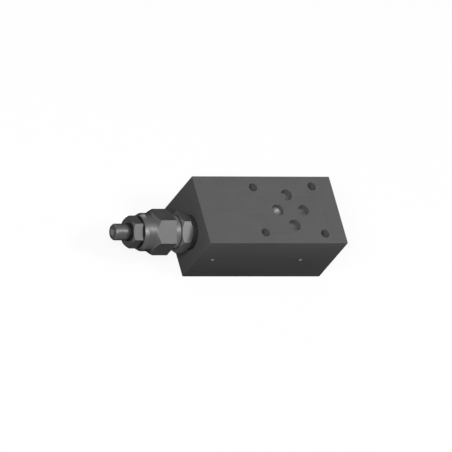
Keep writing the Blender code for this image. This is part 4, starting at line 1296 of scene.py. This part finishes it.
# %% The main spring's wire
SPRING_MEAN_RADIUS = 0.0044
SPRING_WIRE_RADIUS = 0.0009
SPRING_LENGTH = 0.0183
SPRING_TURNS = 6.5
SPRING_STILL_TURN = 1.75
SPRING_CLOSED_TURNS = 2
SPRING_END_GAP = 0.0002
SPRING_POINTS_PER_TURN = 40
SPRING_WIRE_ROUNDNESS = 4

SPRING_LOW, SPRING_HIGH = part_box("main_spring")
SPRING_START_X = SPRING_HIGH.x - SPRING_WIRE_RADIUS


def spring_x(turns):
    """Where the middle of the wire is along X, after some turns from the poppet's plate."""
    end_pitch = 2 * SPRING_WIRE_RADIUS + SPRING_END_GAP
    open_turns = SPRING_TURNS - SPRING_CLOSED_TURNS
    open_length = SPRING_LENGTH - 2 * SPRING_WIRE_RADIUS - SPRING_CLOSED_TURNS * end_pitch
    travel = min(turns, 1.0) * end_pitch
    travel += min(max(turns - 1.0, 0.0), open_turns) * open_length / open_turns
    travel += max(turns - 1.0 - open_turns, 0.0) * end_pitch
    return SPRING_START_X - travel


def make_wire(name, first_turn, last_turn):
    curve = bpy.data.curves.new(name, "CURVE")
    curve.dimensions = "3D"
    curve.bevel_depth = SPRING_WIRE_RADIUS
    curve.bevel_resolution = SPRING_WIRE_ROUNDNESS
    curve.use_fill_caps = True
    spline = curve.splines.new("POLY")
    count = round((last_turn - first_turn) * SPRING_POINTS_PER_TURN)
    spline.points.add(count)
    for index in range(count + 1):
        turns = first_turn + index / SPRING_POINTS_PER_TURN
        angle = 2 * math.pi * turns
        spline.points[index].co = (spring_x(turns), SPRING_MEAN_RADIUS * math.sin(angle),
                                   -SPRING_MEAN_RADIUS * math.cos(angle), 1.0)
    path = link(bpy.data.objects.new("path", curve))
    mesh = evaluated_mesh(path)
    bpy.data.objects.remove(path, do_unlink=True)
    mesh.materials.clear()
    mesh.shade_smooth()
    wire = link(bpy.data.objects.new(name, mesh))
    wire.location = (0.0, AXIS_Y, AXIS_Z)
    return wire


# %% [markdown]
# Each stretch gets the wire's finish, the spring's node is hidden, and the stretch's place is baked
# into its mesh.

# %% Finish the two stretches
def blend_wire(wire, body):
    """Gives the wire its finish, hides the spring's node and bakes the wire's place into its mesh."""
    dress(wire, WIRE_FINISH)
    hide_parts("main_spring")
    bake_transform(wire)
    print(f"{wire.name}: {len(wire.data.polygons)} faces from block to {body}")


STILL_X = spring_x(SPRING_STILL_TURN)
blend_wire(make_wire("spring_poppet_end", 0.0, SPRING_STILL_TURN), "poppet")
blend_wire(make_wire("spring_plunger_end", SPRING_STILL_TURN, SPRING_TURNS), "plunger")

# %% [markdown]
# The moving parts inside are hardened and ground. They are turned again with finer facets, each from
# its own outline: the seat and the poppet that closes it, the plate that the spring pushes, and the
# plunger that carries the screw's push to the spring.

# %% The seat, poppet, plate and plunger
SEAT_HOLE_RADIUS = 0.0023
SEAT_BACK_FLARE = 0.0006
POPPET_RADIUS = 0.0029
POPPET_TIP_RADIUS = 0.0009
POPPET_CONE_ANGLE = math.radians(40.0)
POPPET_HEAD_LENGTH = 0.0032
STEM_RADIUS = 0.0015
STEM_EDGE = 0.0003
PLATE_RIM_THICKNESS = 0.0016
PLATE_POCKET_RADIUS = 0.0018
PLATE_POCKET_DEPTH = 0.0012
SPRING_BOSS_RADIUS = 0.0031
PLUNGER_BOSS_LENGTH = 0.0025
PLUNGER_EDGE = 0.0005
PLUNGER_GROOVE_OFFSET = 0.0030
PLUNGER_GROOVE_WIDTH = 0.0023
PLUNGER_GROOVE_RADIUS = 0.0042


def seat_outline(low, high):
    radius = (high.z - low.z) / 2
    return [
        (high.x, radius),
        (low.x, radius),
        (low.x, SEAT_HOLE_RADIUS),
        (high.x - SEAT_BACK_FLARE, SEAT_HOLE_RADIUS),
        (high.x, SEAT_HOLE_RADIUS + SEAT_BACK_FLARE),
    ]


def poppet_outline(low, high):
    cone_start = high.x - (POPPET_RADIUS - POPPET_TIP_RADIUS) / math.tan(POPPET_CONE_ANGLE)
    head_start = cone_start - POPPET_HEAD_LENGTH
    return [
        (high.x, 0.0),
        (high.x, POPPET_TIP_RADIUS),
        (cone_start, POPPET_RADIUS),
        (head_start, POPPET_RADIUS),
        (head_start, STEM_RADIUS),
        (low.x + STEM_EDGE, STEM_RADIUS),
        (low.x, STEM_RADIUS - STEM_EDGE),
        (low.x, 0.0),
    ]


def plate_outline(low, high):
    radius = (high.z - low.z) / 2
    shoulder = high.x - PLATE_RIM_THICKNESS
    floor = high.x - PLATE_POCKET_DEPTH
    return [
        (floor, 0.0),
        (floor, PLATE_POCKET_RADIUS),
        (high.x, PLATE_POCKET_RADIUS),
        (high.x, radius),
        (shoulder, radius),
        (shoulder, SPRING_BOSS_RADIUS),
        (low.x, SPRING_BOSS_RADIUS),
        (low.x, 0.0),
    ]


def plunger_outline(low, high):
    radius = (high.z - low.z) / 2
    shoulder = high.x - PLUNGER_BOSS_LENGTH
    groove_start = shoulder - PLUNGER_GROOVE_OFFSET
    groove_end = groove_start - PLUNGER_GROOVE_WIDTH
    return [
        (high.x, 0.0),
        (high.x, SPRING_BOSS_RADIUS),
        (shoulder, SPRING_BOSS_RADIUS),
        (shoulder, radius),
        (groove_start, radius),
        (groove_start, PLUNGER_GROOVE_RADIUS),
        (groove_end, PLUNGER_GROOVE_RADIUS),
        (groove_end, radius),
        (low.x + PLUNGER_EDGE, radius),
        (low.x, radius - PLUNGER_EDGE),
        (low.x, 0.0),
    ]


for name, node, body, outline, width in (
        ("seat_ring", "valve_seat", "block", seat_outline, EDGE_BREAK / 2),
        ("cone_poppet", "poppet", "poppet", poppet_outline, EDGE_BREAK / 2),
        ("plate", "spring_plate", "poppet", plate_outline, EDGE_BREAK),
        ("plunger_piston", "spring_plunger", "plunger", plunger_outline, EDGE_BREAK)):
    points = rounded(outline(*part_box(node)), width)
    piece = lathe(name, points, ring=outline is seat_outline)
    finished(piece, body, "hardened_steel", node, finish=GROUND_FINISH)
